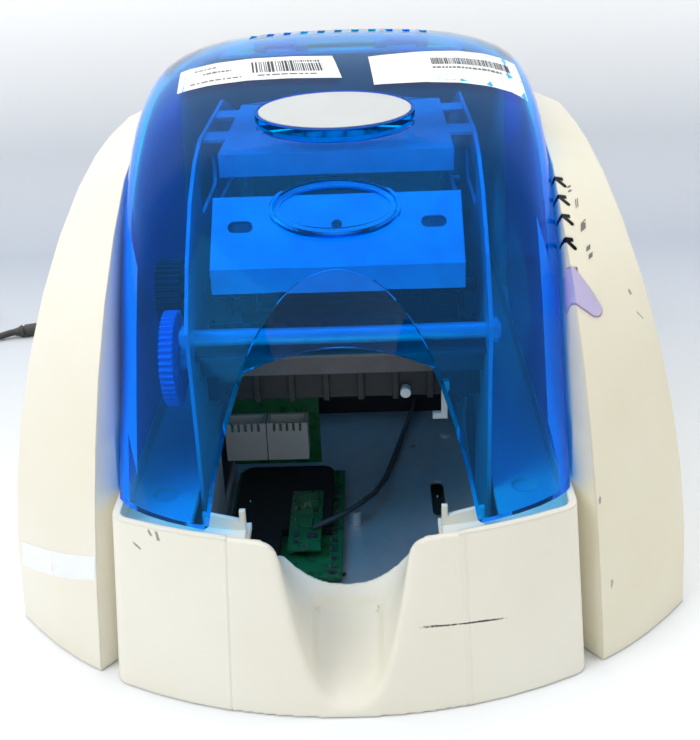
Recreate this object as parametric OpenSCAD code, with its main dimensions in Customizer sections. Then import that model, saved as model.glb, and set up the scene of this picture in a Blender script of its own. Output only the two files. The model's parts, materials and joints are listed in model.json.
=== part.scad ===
/* [Overall] */
// Depth from the front to the rear panel
body_len = 380; // [372:1:388]
// Width over both wings on the table
wing_span = 281; // [276:1:288]
// Height of the cream base under the cover
base_h = 75; // [73:0.5:77]
// Width of the cover and of the body between the wings
cover_w = 172; // [170:0.5:174]
// Gap under the mouldings, which stand on rubber feet
stand_gap = 0.6; // [0.4:0.1:1]

/* [Dome] */
// Radius of the dome's side profile
dome_r = 200; // [199:0.25:202]
// Height of the dome's centre above the table
dome_z = 18.5; // [17:0.25:20]
// Distance of the dome's centre behind the middle of the body
dome_y = 8; // [7:0.25:9]
// Wall of the clear cover
cover_wall = 2.5; // [2:0.1:3]
// Drop of the cover's front at 60 mm from the middle line
crown_front = 10; // [9:0.25:11]
// Drop of the cover's top at 60 mm from the middle line
crown_top = 1; // [0.5:0.1:2]
// Depth of the dome's rounded side corner at the cover's foot
corner_foot = 13; // [10:1:24]
// Depth of the dome's rounded side corner higher up in front
corner_front = 36; // [24:1:46]
// Depth of the dome's rounded side corner at the top
corner_top = 28; // [22:1:34]
// Gap between the cover and what is beside and below it
cover_gap = 0.8; // [0.6:0.1:1]
// Distance of the cover's rear edge behind the middle of the body
cover_rear = 58.6; // [57:0.2:59]
// Width of one vent slot
vent_w = 3.4; // [2.5:0.1:4]
// Length of one vent slot along the cover
vent_len = 34; // [20:1:36]
// Distance between vent slots
vent_pitch = 7.8; // [7.2:0.1:8.4]
// Number of vent slots
vent_count = 11; // [5:2:13]

/* [Card opening in the cover] */
// Half width of the opening at its foot
mouth_half = 50.5; // [49:0.25:51]
// Depth of the opening behind its foot corners
mouth_depth = 42; // [40:0.25:43]
// Distance of the opening's rear wall in front of the middle
mouth_y = 134.5; // [133:0.25:136]
// Height of the lower edge of the opening's rear wall
mouth_edge = 127; // [125.5:0.25:128]

/* [Badge and release button] */
// Width of the oval badge
badge_w = 60; // [56:0.5:62]
// Height of the oval badge along the cover
badge_h = 26; // [25:0.5:27]
// Slope of the badge, which is flatter than the dome under it
badge_slope = 19; // [17.5:0.5:21]
// Distance of the badge in front of the middle of the body
badge_y = 74; // [73:0.5:75]
// Height of the badge's middle
badge_z = 202.5; // [202:0.25:203.25]
// Width of the oval bezel
bezel_w = 49; // [47:0.5:50]
// Height of the oval bezel along the cover
bezel_h = 26; // [25:0.25:27]
// Angle of the bezel up the dome
bezel_at = 51.7; // [51:0.1:53]
// Travel of the release button
release_travel = 2; // [1:0.1:2.2]

/* [Wings] */
// Height of the wing's crest beside the cover
wing_h = 184; // [181:0.5:187]
// Drop from the crest to the wing's outer edge
wing_drop = 8; // [6:0.5:10]
// Distance between the wings' crests on the table
crest_span = 200; // [198:0.5:202]
// Wall of a wing
wing_wall = 2.5; // [2:0.1:3]
// Travel of the control button
control_travel = 1; // [0.8:0.1:1.4]

/* [Base] */
// Wall of the base moulding
base_wall = 3; // [2.6:0.1:3.4]
// How much wider each side of the base is at its foot
base_flare = 6.3; // [5.5:0.1:7]
// Radius of the curved front at the table
front_r = 190; // [189:0.25:191]
// How far the front leans back over its height
front_lean = 4; // [3:0.25:4.5]
// Radius of the base's front corners
corner_r = 8; // [7:0.25:9]
// Half width of the finger notch in the front
notch_half = 21.8; // [20:0.2:23]
// Height of the bottom of the finger notch
notch_foot = 4; // [3.8:0.1:6]
// Height of the notch's rear sill
sill_h = 39; // [37:0.5:41]
// Half distance between the two hopper posts
post_half = 36; // [35:0.25:37]

/* [Chassis] */
// Distance between the inner faces of the side plates
plate_gap = 110.4; // [109:0.2:111]
// Thickness of the sheet metal
sheet = 1.5; // [1.2:0.1:1.6]
// Height of the chassis floor's upper face
floor_h = 22; // [21:0.5:23]
// Height of the card's path
card_h = 107.4; // [107:0.1:108]
// Radius of the front cross rod
rod_r = 3.2; // [3:0.1:3.6]

/* [Rollers and gears] */
// Radius of the roller shafts
shaft_r = 3; // [2.5:0.1:3.2]
// Radial running clearance of shafts and pins
run_fit = 0.05; // [0.03:0.01:0.08]
// Radius of the feed rollers
feed_r = 7; // [6.6:0.1:7.2]
// Radius of the platen roller
platen_r = 9; // [8.6:0.1:9.4]
// Radius of the upper pinch and cleaning rollers
pinch_r = 6.3; // [6:0.1:6.5]
// Tooth size of the gears, as a module
gear_m = 0.8; // [0.78:0.01:0.82]
// Teeth of the feed roller's gear
feed_teeth = 20; // [20:1:20]
// Teeth of the large ribbed wheel
wheel_teeth = 46; // [46:1:46]
// Teeth of the ribbon spindle's gear
spool_teeth = 32; // [32:1:32]

/* [Rear] */
// Width of the rocker switch opening
rocker_w = 13; // [12:0.5:14]
// Height of the rocker switch opening
rocker_h = 19; // [18:0.5:21]
// Height of the lead's socket above the table
socket_h = 24; // [23:0.5:26]

/* [Lead] */
// Diameter of the lead
lead_d = 4.5; // [4.5:0.1:4.5]
// Diameter of the moulded sleeve on the lead
sleeve_d = 8.4; // [8:0.1:8.8]

/* [Hidden] */
$fn = 40;

eps = 0.01;
half_w = cover_w / 2;
half_len = body_len / 2;
half_foot = half_w + base_flare;
front_top_r = front_r - front_lean;
cover_foot = base_h + cover_gap - 0.2;
plate_x = plate_gap / 2;
plate_out = plate_x + sheet;
cream = [0.86, 0.84, 0.74];
clear_blue = [0.05, 0.25, 0.85, 0.55];
steel = [0.72, 0.74, 0.77];
black = [0.09, 0.09, 0.1];
rubber = [0.16, 0.16, 0.17];
board_green = [0.05, 0.35, 0.15];
white = [0.9, 0.9, 0.88];

// General helpers

function ease(a, b, v) = let(t = max(0, min(1, (v - a) / (b - a)))) t * t * (3 - 2 * t);
function polar(r, a) = [r * cos(a), r * sin(a)];
function middle(ring) = [for (k = [0:2]) [for (p = ring) p[k]] * [for (p = ring) 1] / len(ring)];

// Closed skin over rings of points; each end is closed by a fan round its middle
module skin(rings) {
  n = len(rings[0]);
  m = len(rings);
  first = n * m;
  polyhedron(
    points = concat([for (r = rings) each r], [middle(rings[0]), middle(rings[m - 1])]),
    faces = concat(
      [for (j = [0:n - 1]) [first, (j + 1) % n, j]],
      [for (i = [0:m - 2]) for (j = [0:n - 1])
        let(a = i * n + j, b = i * n + (j + 1) % n) each [[a, b, b + n], [a, b + n, a + n]]],
      [for (j = [0:n - 1]) [first + 1, (m - 1) * n + j, (m - 1) * n + (j + 1) % n]]),
    convexity = 10);
}

// A flat shape drawn in the side view, Y to the right and Z up, pushed along X
module side_extrude(x0, x1) {
  translate([x0, 0, 0]) rotate([90, 0, 90]) linear_extrude(x1 - x0, convexity = 6) children();
}

// A flat shape drawn in the front view, X to the right and Z up, pushed along Y
module front_extrude(y0, y1) {
  translate([0, y1, 0]) rotate([90, 0, 0]) linear_extrude(y1 - y0, convexity = 6) children();
}

// Smooth shells are cut as meshes
module as_mesh() { resize([0, 0, 0]) children(); }

module block(lo, hi) { translate(lo) cube(hi - lo); }

module rod_x(y, z, x0, x1, r) {
  translate([x0, y, z]) rotate([0, 90, 0]) cylinder(h = x1 - x0, r = r);
}

module rod_y(x, z, y0, y1, r) {
  translate([x, y1, z]) rotate([90, 0, 0]) cylinder(h = y1 - y0, r = r);
}

module both_sides() {
  children();
  mirror([1, 0, 0]) children();
}

module rounded(w, h, r) {
  square([w - 2 * r, h], center = true);
  square([w, h - 2 * r], center = true);
  for (x = [-1, 1], y = [-1, 1]) translate([x * (w / 2 - r), y * (h / 2 - r)]) circle(r);
}

// Dome of the cover: sections in planes through a line along X at the dome's centre

crown_at = 60;
corner_n = 3;
panel_t = 3;
dome_us = [1, 0.985, 0.955, 0.91, 0.84, 0.74, 0.6, 0.42, 0.22, 0];

function top_share(th) = th > 90 ? 1 : ease(15, 75, th);
function dome_sag(th) = crown_front + (crown_top - crown_front) * top_share(th);
function dome_corner(th) = corner_front + (corner_foot - corner_front) * (1 - ease(14, 40, th))
  + (corner_top - corner_front) * top_share(th);
function dome_point(th, x, r) = [x, dome_y - r * cos(th), dome_z + r * sin(th)];
function dome_reach(th, u, off) = dome_r - off - dome_sag(th) * pow((half_w - off) * u / crown_at, 2)
  - dome_corner(th) * (1 - pow(1 - pow(u, corner_n), 1 / corner_n));
function dome_half(th, off) = [for (u = dome_us) dome_point(th, (half_w - off) * u, dome_reach(th, u, off))];
function mirrored(pts) = [for (i = [len(pts) - 2:-1:0]) [-pts[i][0], pts[i][1], pts[i][2]]];
function dome_ring(th, off, low) =
  let(h = dome_half(th, off), foot = dome_point(th, half_w - off, dome_r * low))
  concat([foot], h, mirrored(h), [[-foot[0], foot[1], foot[2]]]);

// Part of the dome from angle a to angle b, off below the outer face and down to a share low of its radius
module dome(a, b, steps, off, low) {
  skin([for (i = [0:steps]) dome_ring(a + (b - a) * i / steps, off, low)]);
}

// A frame on the dome's outer face at angle th up from the front; local Z points outwards
module on_dome(th, out = 0) {
  translate([0, dome_y - (dome_r + out) * cos(th), dome_z + (dome_r + out) * sin(th)])
    rotate([90 - th, 0, 0]) children();
}

module oval(w, h) { resize([w, h]) circle(d = w, $fn = 48); }

// The cutter of the card opening is a little wider than its foot
mouth_wide = mouth_half * 1.02;

// Plan of the card opening: a parabola that runs back from its foot corners
function mouth_curve(grow, half) = [for (i = [-10:10]) let(x = half * i / 10)
  [x, -mouth_y + grow - mouth_depth * pow(x / mouth_half, 2)]];

// Base moulding

function base_plan(off, lean, y_back) =
  let(hw = half_w + base_flare * (1 - lean) - off,
      r = front_r - front_lean * lean - off,
      c = max(corner_r - off, 2),
      x = hw - c,
      y = sqrt(pow(r - c, 2) - x * x),
      a = atan2(y, x),
      side = concat([[hw, y_back]], [for (i = [0:5]) [x + c * cos(a * i / 5), -y - c * sin(a * i / 5)]],
        [for (i = [1:6]) [r * cos(a + (90 - a) * i / 6), -r * sin(a + (90 - a) * i / 6)]]))
  concat(side, [for (i = [len(side) - 2:-1:0]) [-side[i][0], side[i][1]]]);
function lift(pts, z) = [for (p = pts) [p[0], p[1], z]];
function lean_at(z) = z / base_h;
base_back = half_len - panel_t;

module base_block(off, z0, z1, y_back) {
  skin([lift(base_plan(off, lean_at(z0), y_back), z0), lift(base_plan(off, lean_at(z1), y_back), z1)]);
}

// Section of the finger notch; s runs from the middle, 0, to the edge, 1
sill_half = 33;
sill_y = front_r - 35;
notch_flare = 9;
notch_wall = 2.6;
function notch_half_ring(y, half, foot, p, flare, grow) = [for (i = [0:9]) let(s = i / 9)
  [(half + grow) * s + flare * pow(s, 12), y, foot - grow + (base_h + 1 - foot + grow) * pow(s, p)]];
function notch_ring(y, half, foot, p, flare, grow) =
  let(h = notch_half_ring(y, half, foot, p, flare, grow), top = [h[9][0], y, base_h + 20])
  concat([for (i = [9:-1:1]) [-h[i][0], y, h[i][2]]], h, [top, [-top[0], y, top[2]]]);

module notch_space(grow, y_back) {
  skin([notch_ring(-front_r - 6, notch_half, notch_foot - 3, 4, notch_flare, grow),
    notch_ring(-front_r + 4, notch_half, notch_foot + 1, 4, notch_flare, grow),
    notch_ring(-front_r + 18, notch_half + 1.5, (notch_foot + sill_h) / 2 - 4, 3.6, notch_flare / 2, grow),
    notch_ring(-sill_y, sill_half, sill_h, 3.1, 0, grow),
    notch_ring(-y_back, sill_half, sill_h, 3.1, 0, grow)]);
}

ledge_h = 66.5;
ledge_t = 2.5;
pocket_r = 5.3;
pocket_x = 70.5;
pocket_y = front_r - 56;
rail_y = front_r - 24;
rail_t = 2.2;
flange_h = 7.5;

module base_shell() {
  color(cream) difference() {
    as_mesh() difference() {
      union() {
        base_walls();
        base_ledge();
        base_flange();
        intersection() {
          notch_space(notch_wall, sill_y);
          base_block(0.2, stand_gap, base_h - eps, 0);
        }
        both_sides() hopper_rail();
      }
      notch_space(0, sill_y - 20);
    }
    both_sides() translate([pocket_x, -pocket_y, ledge_h - 1.6]) cylinder(h = 5, r = pocket_r);
  }
}

module base_walls() {
  difference() {
    base_block(0, stand_gap, base_h, base_back);
    base_block(base_wall, stand_gap - 1, base_h + 1, base_back + 10);
  }
}

// Ledge that the cover closes over, open above the card bin and round the chassis
module base_ledge() {
  translate([0, 0, ledge_h - ledge_t]) linear_extrude(ledge_t) difference() {
    polygon(base_plan(base_wall - 0.5, lean_at(ledge_h), base_back));
    translate([-plate_out - 1, -sill_y - 2]) square([2 * plate_out + 2, body_len]);
    translate([-belt_x1 - 2, motor_at[0] - motor_r]) square([belt_x1 + 2, 2 * motor_r]);
    translate([-post_half + 1, -front_r]) square([2 * post_half - 2, 60]);
  }
}

module base_flange() {
  translate([0, 0, flange_h]) linear_extrude(2) difference() {
    polygon(base_plan(base_wall - 0.8, lean_at(flange_h), base_back));
    polygon(base_plan(base_wall + 6, lean_at(flange_h), base_back + 20));
    translate([-sill_half, -front_r]) square([2 * sill_half, 40]);
  }
}

module hopper_rail() {
  front_extrude(-rail_y, -rail_y + rail_t) polygon([[post_half, ledge_h - ledge_t - 3],
    [mouth_half + 1, ledge_h - ledge_t - 3], [mouth_half + 1, base_h + 1.5],
    [post_half + 2.2, base_h - 2], [post_half + 2.2, base_h + 2], [post_half, base_h + 2]]);
  front_extrude(-rail_y - 7, -rail_y + eps) polygon([[post_half, ledge_h - ledge_t],
    [mouth_half + 1, ledge_h - ledge_t], [mouth_half + 1, base_h - 4], [post_half, base_h - 6]]);
}

// Wings: the side outline runs from the front foot over the top to the rear foot

wing_front = 168;
wing_y = dome_y;
wing_front_n = 2.7;
wing_rear_n = 2.8;
wing_rear = half_len - 4 - wing_y;
crest_back = 11;
wing_edge_drop = 37.4;
seam = 1.2;
wing_ts = [0, 7, 15, 24, 34, 45, 57, 70, 82, 90];
wing_rs = [78, 62, 48, 36, 26, 17, 8, 0];

function body_x(z) = z < base_h ? half_foot - base_flare * z / base_h : half_w + cover_gap;
function crest_x(z) = max(crest_span / 2 - (crest_span / 2 - half_w - cover_gap) * z / 160,
  half_w + cover_gap + 0.2);
function edge_x(z) = wing_span / 2 - 0.032 * z - 0.00086 * z * z;
function wing_outline(back, drop, size) = concat(
  [for (t = wing_ts) [wing_y - (wing_front - back) * size * pow(cos(t), 2 / wing_front_n),
    (wing_h - drop) * size * pow(sin(t), 2 / wing_front_n)]],
  [for (t = wing_rs) [wing_y + (wing_rear - 0.4 * back) * size * pow(cos(t), 2 / wing_rear_n),
    (wing_h - drop) * size * pow(sin(t), 2 / wing_rear_n)]]);
function crest_ring(back, share, off) = [for (p = wing_outline(back + off, 0.4 * back + off, 1))
  let(z = max(p[1], 0), inner = body_x(z) - seam) [inner + (crest_x(z) - inner) * share, p[0], p[1]]];
function face_ring(g, off) =
  let(dx = (wing_span - crest_span) / 2 * g, d = (0.62 * dx + 0.0075 * dx * dx))
  [for (p = wing_outline(d + off, d * wing_drop / wing_edge_drop + off, 1)) let(z = max(p[1], 0))
    [crest_x(z) + (edge_x(z) - crest_x(z)) * g - off * g, p[0], p[1]]];
function wall_ring(size, off) =
  [for (p = wing_outline(wing_edge_drop + off, wing_drop + off, size)) let(z = max(p[1], 0))
    [edge_x(z) - off, p[0], p[1]]];

module wing_skin(off, cap_x) {
  inner = [for (p = crest_ring(crest_back, 0, off)) [cap_x, p[1], p[2]]];
  rings = concat([inner, crest_ring(crest_back, 0, off), crest_ring(0, 1, off)],
    [for (g = [0.12, 0.28, 0.52, 0.78]) face_ring(g, off)],
    [for (s = [1, 0.72, 0.42, 0.15]) wall_ring(s, off)]);
  skin(rings);
}

module body_prism(grow) {
  x = half_foot + grow;
  front_extrude(-half_len, half_len) polygon([[0, -5], [x, -5], [x, 0],
    [half_w + grow, base_h], [half_w + cover_gap + grow, base_h], [half_w + cover_gap + grow, 300],
    [0, 300]]);
}

// Right wing before its button and lens openings
module wing() {
  as_mesh() difference() {
    wing_skin(0, half_w - 2);
    body_prism(0);
    difference() {
      wing_skin(wing_wall, half_w - 2);
      body_prism(wing_wall);
    }
    block([0, -half_len, -5], [wing_span, half_len, stand_gap]);
  }
}

// Button and lenses wrap over the right wing's crest, by height on it
function crest_y(z) = wing_y - wing_front * pow(1 - pow(z / wing_h, wing_front_n), 1 / wing_front_n);
lens_zs = [173, 168.7, 163.6, 157.3];
lens_r = 0.8;
lens_front = [3.6, -3.4];
lens_side = [11, -7.5];
control_z = 141.5;
control_proud = 1;
control_side = 0.3;
control_back = 2.2;
control_gap = 0.4;
// Rounded marks that bound the button on the wing's front and on its inner side: place and radius
control_front_marks = [[-0.1, 9.6, 1.5], [2.2, 0.1, 4.3], [8, -4.6, 2.9]];
control_side_marks = [[9.8, 5.3, 1], [9.1, -1.5, 5.2], [1.7, -2, 2.5], [7.4, -9.7, 1.8]];

// The button's travel lies in the side view; local Z points out of the wing
press_tilt = 52;
function across_press(z) = crest_y(z) * cos(press_tilt) + z * sin(press_tilt);
function along_press(z) = z * cos(press_tilt) - crest_y(z) * sin(press_tilt);
module press_prism(z, deep) {
  rotate([press_tilt, 0, 0]) translate([crest_x(z), across_press(z), along_press(z) - deep])
    linear_extrude(deep + 14) children();
}
module side_prism(grow) { side_extrude(half_w, half_w + cover_gap + wing_wall + 1 + grow) children(); }

// Wall of the right wing, proud of it by p in front and by q on its inner side, down to depth d
module crest_wall(p, q, d) {
  difference() {
    wing_skin(-p, half_w - 2);
    body_prism(-q);
    difference() {
      wing_skin(d, half_w - 2);
      body_prism(d);
    }
  }
}

module control_shape(grow, travel) {
  press_prism(control_z, 8.3 + travel + grow) hull()
    for (m = control_front_marks) translate([m[0], m[1]]) circle(m[2] + grow);
  side_prism(grow) hull() for (m = control_side_marks, k = [0, travel])
    translate([crest_y(control_z) + m[0] + k * sin(press_tilt), control_z + m[1] - k * cos(press_tilt)])
    circle(m[2] + grow);
}

module lens_shape(z, grow) {
  press_prism(z, 5 + grow) hull() {
    circle(lens_r + grow);
    translate(lens_front) circle(lens_r + grow);
  }
  side_prism(grow) hull() for (k = [0, 1]) translate([crest_y(z), z] + k * lens_side) circle(lens_r + grow);
}

module left_wing() { color(cream) mirror([1, 0, 0]) wing(); }

module right_wing() {
  color(cream) as_mesh() difference() {
    wing();
    control_shape(control_gap, control_travel);
    for (z = lens_zs) lens_shape(z, 0.05);
  }
}

module control_button() {
  color([0.75, 0.68, 0.88]) as_mesh() intersection() {
    crest_wall(control_proud, control_side, control_back);
    control_shape(0, 0);
  }
}

module indicator_lenses() {
  color([0.3, 0.3, 0.3]) as_mesh() intersection() {
    crest_wall(0.1, 0.05, wing_wall - 0.2);
    for (z = lens_zs) lens_shape(z, 0);
  }
}

// Rear of the body

shell_front = cover_rear + cover_gap;
hinge_y = cover_rear + 3.4;
barrel_r = 3;
hinge_sink = 3.5;
hinge_z = dome_z + sqrt(pow(dome_r, 2) - pow(hinge_y - dome_y, 2)) - hinge_sink;
hinge_half = 61;
hinge_gap = 6.2;
pin_r = 1.5;
shelf_drop = 3.9;
panel_top = dome_z + sqrt(max(pow(dome_r, 2) - pow(half_len - dome_y, 2), pow(dome_r / 4, 2)));

module rear_shell() {
  color(cream) as_mesh() difference() {
    union() {
      difference() {
        dome(95, 175, 14, 0, 0.3);
        dome(85, 185, 18, cover_wall, 0.1);
      }
      hinge_shelf();
    }
    block([-half_w - 1, -half_len, 0], [half_w + 1, shell_front, 300]);
    block([-half_w - 1, 0, -50], [half_w + 1, 300, base_h]);
    block([-half_w - 1, half_len - panel_t, 0], [half_w + 1, 300, 300]);
    block([-hinge_half, 0, hinge_z - shelf_drop + 0.2], [hinge_half, hinge_y + hinge_gap, 300]);
  }
}

// Shelf under the hinge, which closes the gap from below
module hinge_shelf() {
  z = hinge_z - shelf_drop;
  block([-hinge_half, shell_front, z - 2], [hinge_half, hinge_y + 17, z]);
}

louvre_count = 9;
rocker_x = 58;
inlet_x = 26;
socket_x = -60;
rear_z = 44;

module rear_panel() {
  color(cream) difference() {
    as_mesh() intersection() {
      union() {
        dome(95, 175, 14, 0.2, 0.1);
        front_extrude(0, half_len) polygon([[-half_foot + 1.5, stand_gap], [half_foot - 1.5, stand_gap],
          [half_w - 0.3, base_h], [-half_w + 0.3, base_h]]);
      }
      block([-half_foot, half_len - panel_t, 0], [half_foot, half_len, panel_top + 20]);
    }
    for (i = [0:louvre_count - 1]) translate([-44 + 11 * i, half_len, panel_top - 20]) rotate([90, 0, 0])
      linear_extrude(3 * panel_t, center = true) rounded(4, 18, 1.9);
    translate([rocker_x, half_len, rear_z]) cube([rocker_w, 3 * panel_t, rocker_h], center = true);
    rod_y(inlet_x, rear_z, half_len - panel_t - 1, half_len + 1, 5.2);
    translate([socket_x, half_len, socket_h]) cube([12.6, 3 * panel_t, 11.4], center = true);
  }
}

rocker_swing = 8;

module rocker_switch() {
  color(black) translate([rocker_x, half_len - 2.2, rear_z]) rotate([0, 90, 0])
    linear_extrude(rocker_w - 1.4, center = true)
      polygon([[-7.8, -4], [7.8, -4], [7.8, 0.8], [0, 2.4], [-7.8, 2.6]]);
}

module power_inlet() {
  color(black) {
    difference() {
      rod_y(inlet_x, rear_z, half_len - 14, half_len + 0.4, 5.1);
      rod_y(inlet_x, rear_z, half_len - 11, half_len + 2, 3.1);
    }
    rod_y(inlet_x, rear_z, half_len - 13, half_len - 1, 1);
  }
}

module lead_socket() {
  color(steel) difference() {
    block([socket_x - 6.2, half_len - 17, socket_h - 5.6], [socket_x + 6.2, half_len + 0.3, socket_h + 5.6]);
    block([socket_x - 4.4, half_len - 13, socket_h - 4], [socket_x + 4.4, half_len + 1, socket_h + 4]);
  }
}

// Bottom, feet and chassis

foot_r = 8;
foot_h = 6;

module bottom_plate() {
  color(steel) difference() {
    translate([0, 0, foot_h]) linear_extrude(flange_h - foot_h) difference() {
      polygon(base_plan(base_wall + 0.4, lean_at(flange_h), base_back - 1));
      translate([-sill_half, -front_r]) square([2 * sill_half, 40]);
    }
    for (i = [0:8]) translate([-40 + 10 * i, 60, 0]) linear_extrude(20) rounded(4, 40, 1.9);
  }
}

module feet() {
  color(rubber) for (x = [-66, 66], y = [-118, 150]) translate([x, y, 0]) {
    cylinder(h = foot_h, r = foot_r);
    cylinder(h = foot_h - 1, r = foot_r + 1.5);
  }
}

floor_front = 150;
floor_back = 120;

module floor_plate() {
  color(steel) difference() {
    union() {
      block([-plate_x, -floor_front, floor_h - sheet], [plate_x, floor_back, floor_h]);
      both_sides() block([plate_x - sheet, -floor_front, flange_h], [plate_x, floor_back, floor_h - eps]);
    }
    for (p = [[-3, -128], [30, -120], [30, -20]]) translate([p[0], p[1], 0]) cylinder(h = 40, r = 1.7);
    translate([40, -70, 0]) linear_extrude(40) rounded(6, 30, 2.9);
  }
}

// Places of the turning parts in the side view
wheel_turn = 151;
spool_turn = 36.6;
mesh_play = 0.12;
feed_at = [-84, card_h - 0.4 - feed_r];
platen_at = [-55, card_h - 0.4 - platen_r];
rear_at = [-20, card_h - 0.4 - feed_r];
pinch_at = [-84, card_h + 0.5 + pinch_r];
clean_at = [-20, card_h + 0.5 + pinch_r];
wheel_at = feed_at + polar(gear_m * (feed_teeth + wheel_teeth) / 2 + mesh_play, wheel_turn);
spool_at = wheel_at + polar(gear_m * (wheel_teeth + spool_teeth) / 2 + mesh_play, spool_turn);
supply_at = [-6, 136];
motor_at = [60, 72];
pivot_at = [5, 150];
rod_at = [-123, 128];
pivot_r = 2.5;

module plate_outline() {
  polygon([[-138, flange_h], [-135.5, 134.5], [-119, 156], [-99, 173.5], [-80, top_plate_h - 4],
    [-60, top_plate_h + 1], [20, top_plate_h + 1], [60, 176], [floor_back, 140], [floor_back, flange_h]]);
}

module side_plate_2d() {
  difference() {
    plate_outline();
    for (p = [feed_at, platen_at, rear_at, pinch_at, clean_at, spool_at, supply_at])
      translate(p) circle(shaft_r + run_fit);
    translate(rod_at) circle(rod_r + run_fit);
    translate(pivot_at) circle(pivot_r);
    translate([-52, 52]) rounded(70, 44, 8);
    translate([60, 130]) rounded(60, 40, 8);
    translate([-50, 168]) rounded(50, 14, 5);
  }
}

module left_side_plate() {
  color(steel) side_extrude(-plate_out, -plate_x) difference() {
    side_plate_2d();
    translate(wheel_at) circle(shaft_r);
    translate(motor_at) circle(5);
  }
}

module right_side_plate() { color(steel) side_extrude(plate_x, plate_out) side_plate_2d(); }

module front_rod() {
  color(steel) {
    rod_x(rod_at[0], rod_at[1], -plate_out - 4, plate_out + 4, rod_r);
    both_sides() rod_x(rod_at[0], rod_at[1], plate_out, plate_out + 3, rod_r + 1.8);
  }
}

module cross_bar() {
  color(steel) {
    top = rod_at[1] - rod_r - 3;
    block([-plate_x, rod_at[0] - 5, top - sheet], [plate_x, rod_at[0] + 7, top]);
    block([-plate_x, rod_at[0] + 7 - sheet, top - 13], [plate_x, rod_at[0] + 7, top]);
  }
}

top_plate_h = dome_z + dome_r - 31;
top_plate_half = 46;
top_plate_front = 82;

module top_plate() {
  color(steel) difference() {
    union() {
      block([-top_plate_half, -top_plate_front, top_plate_h - sheet], [top_plate_half, 12, top_plate_h]);
      block([-top_plate_half, -top_plate_front, top_plate_h - 9],
        [top_plate_half, -top_plate_front + sheet, top_plate_h]);
      both_sides() for (y = [-56, -14])
        block([top_plate_half - eps, y, top_plate_h - sheet], [plate_x, y + 14, top_plate_h]);
    }
    for (x = [-30, 30]) translate([x, -30, 0]) linear_extrude(300) rounded(5, 16, 2.4);
  }
}

divider_y = 18;

module rear_divider() {
  color(black) difference() {
    block([-plate_x, divider_y, floor_h], [plate_x, divider_y + 2, 92]);
    rod_y(cable_end[0], cable_end[2], divider_y - 1, divider_y + 3, cable_r);
  }
}

guide_foot = card_h - 15.4;
guide_top = card_h + 13.6;

module exit_guide() {
  color(black) difference() {
    union() {
      block([-plate_x, -104, guide_foot], [plate_x, -100, guide_top]);
      for (i = [0:7]) let(x = -49 + 14 * i) block([x - 1.2, -107, guide_foot], [x + 1.2, -92.5, guide_top]);
      block([-plate_x, -104, guide_foot], [plate_x, -92.5, guide_foot + 2]);
    }
    block([-30, -110, card_h - 3], [30, -90, card_h + 4]);
  }
}

module sensor_bracket() {
  color(white) {
    block([39.5, -106.4, 82], [42, -104, 92]);
    block([36, -106.4, 82], [39.5 + eps, -104, 84.5]);
    block([39.5, -107.4, 92], [42, -104, 99]);
    rod_y(25, 95, -108.4, -104, 2.1);
  }
}

// Boards and parts in the card bin

board_z = floor_h + 1.6;
board_t = 1.6;
board_lo = [-53, -135];
board_hi = [-3, -48];
foam_t = 4;

module feeder_board() {
  color(board_green) {
    translate([0, 0, board_z]) linear_extrude(board_t) difference() {
      translate(board_lo) square(board_hi - board_lo);
      for (x = [board_lo[0] + 4, board_hi[0] - 4]) translate([x, board_lo[1] + 4]) circle(1.7);
    }
    for (p = [[-49, -60], [-7, -60], [-49, -120], [-7, -120]]) translate([p[0], p[1], floor_h])
      cylinder(h = 1.6 + eps, r = 2.4);
  }
}

module foam_pad() {
  color([0.08, 0.09, 0.09]) translate([0, 0, board_z + board_t]) linear_extrude(foam_t) difference() {
    translate([-29.5, -91]) rounded(43, 82, 6);
    translate([-29.5, -140]) square([30, 36]);
  }
}

sensor_z = board_z + board_t + foam_t;

module sensor_board() {
  color(board_green) block([-26, -122, sensor_z], [-12, -75, sensor_z + 1.2]);
  color(white) block([-24, -84, sensor_z + 1.2 - eps], [-14, -77, sensor_z + 2]);
  color(black) for (y = [-96, -104]) block([-22, y, sensor_z + 1.2 - eps], [-16, y + 5, sensor_z + 2.4]);
}

// Route of the sensor's cable, held at the board and at the divider
cable_r = 1.2;
cable_end = [33, 20, 30];
cable_start = [-16, -108, sensor_z + 1.2 + cable_r];
cable_route = [cable_start, [-10, -105, 32.8], [-2, -98, 32.4], [5, -88, 31.5], [11, -74, 28], [16, -58, 26],
  [20, -40, 25.6], [24, -22, 26], [28, -6, 27.4], [31.6, 8, 29.4], cable_end];

module sensor_cable() { color(black) tube(cable_route, cable_r, 8); }

module standoffs() {
  color(steel) {
    difference() {
      translate([2, -90, floor_h]) cylinder(h = 7, r = 2.8);
      translate([2, -90, floor_h + 2]) cylinder(h = 8, r = 1.3);
    }
    for (p = [[47, -130], [47, -10]]) translate([p[0], p[1], floor_h]) cylinder(h = 1.6, r = 2.8);
  }
}

module connector_board() {
  color(board_green) block([-plate_x, -48, 30], [-14, -46.4, 78]);
}

module connectors() {
  color([0.85, 0.84, 0.75]) for (x = [-47.6, -28.4]) difference() {
    block([x - 9.4, -59, 38], [x + 9.4, -48, 57]);
    block([x - 8, -58, 52], [x + 8, -50, 58]);
    for (i = [-2:2]) block([x + 3 * i - 0.6, -60, 53], [x + 3 * i + 0.6, -57, 58]);
  }
}

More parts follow.
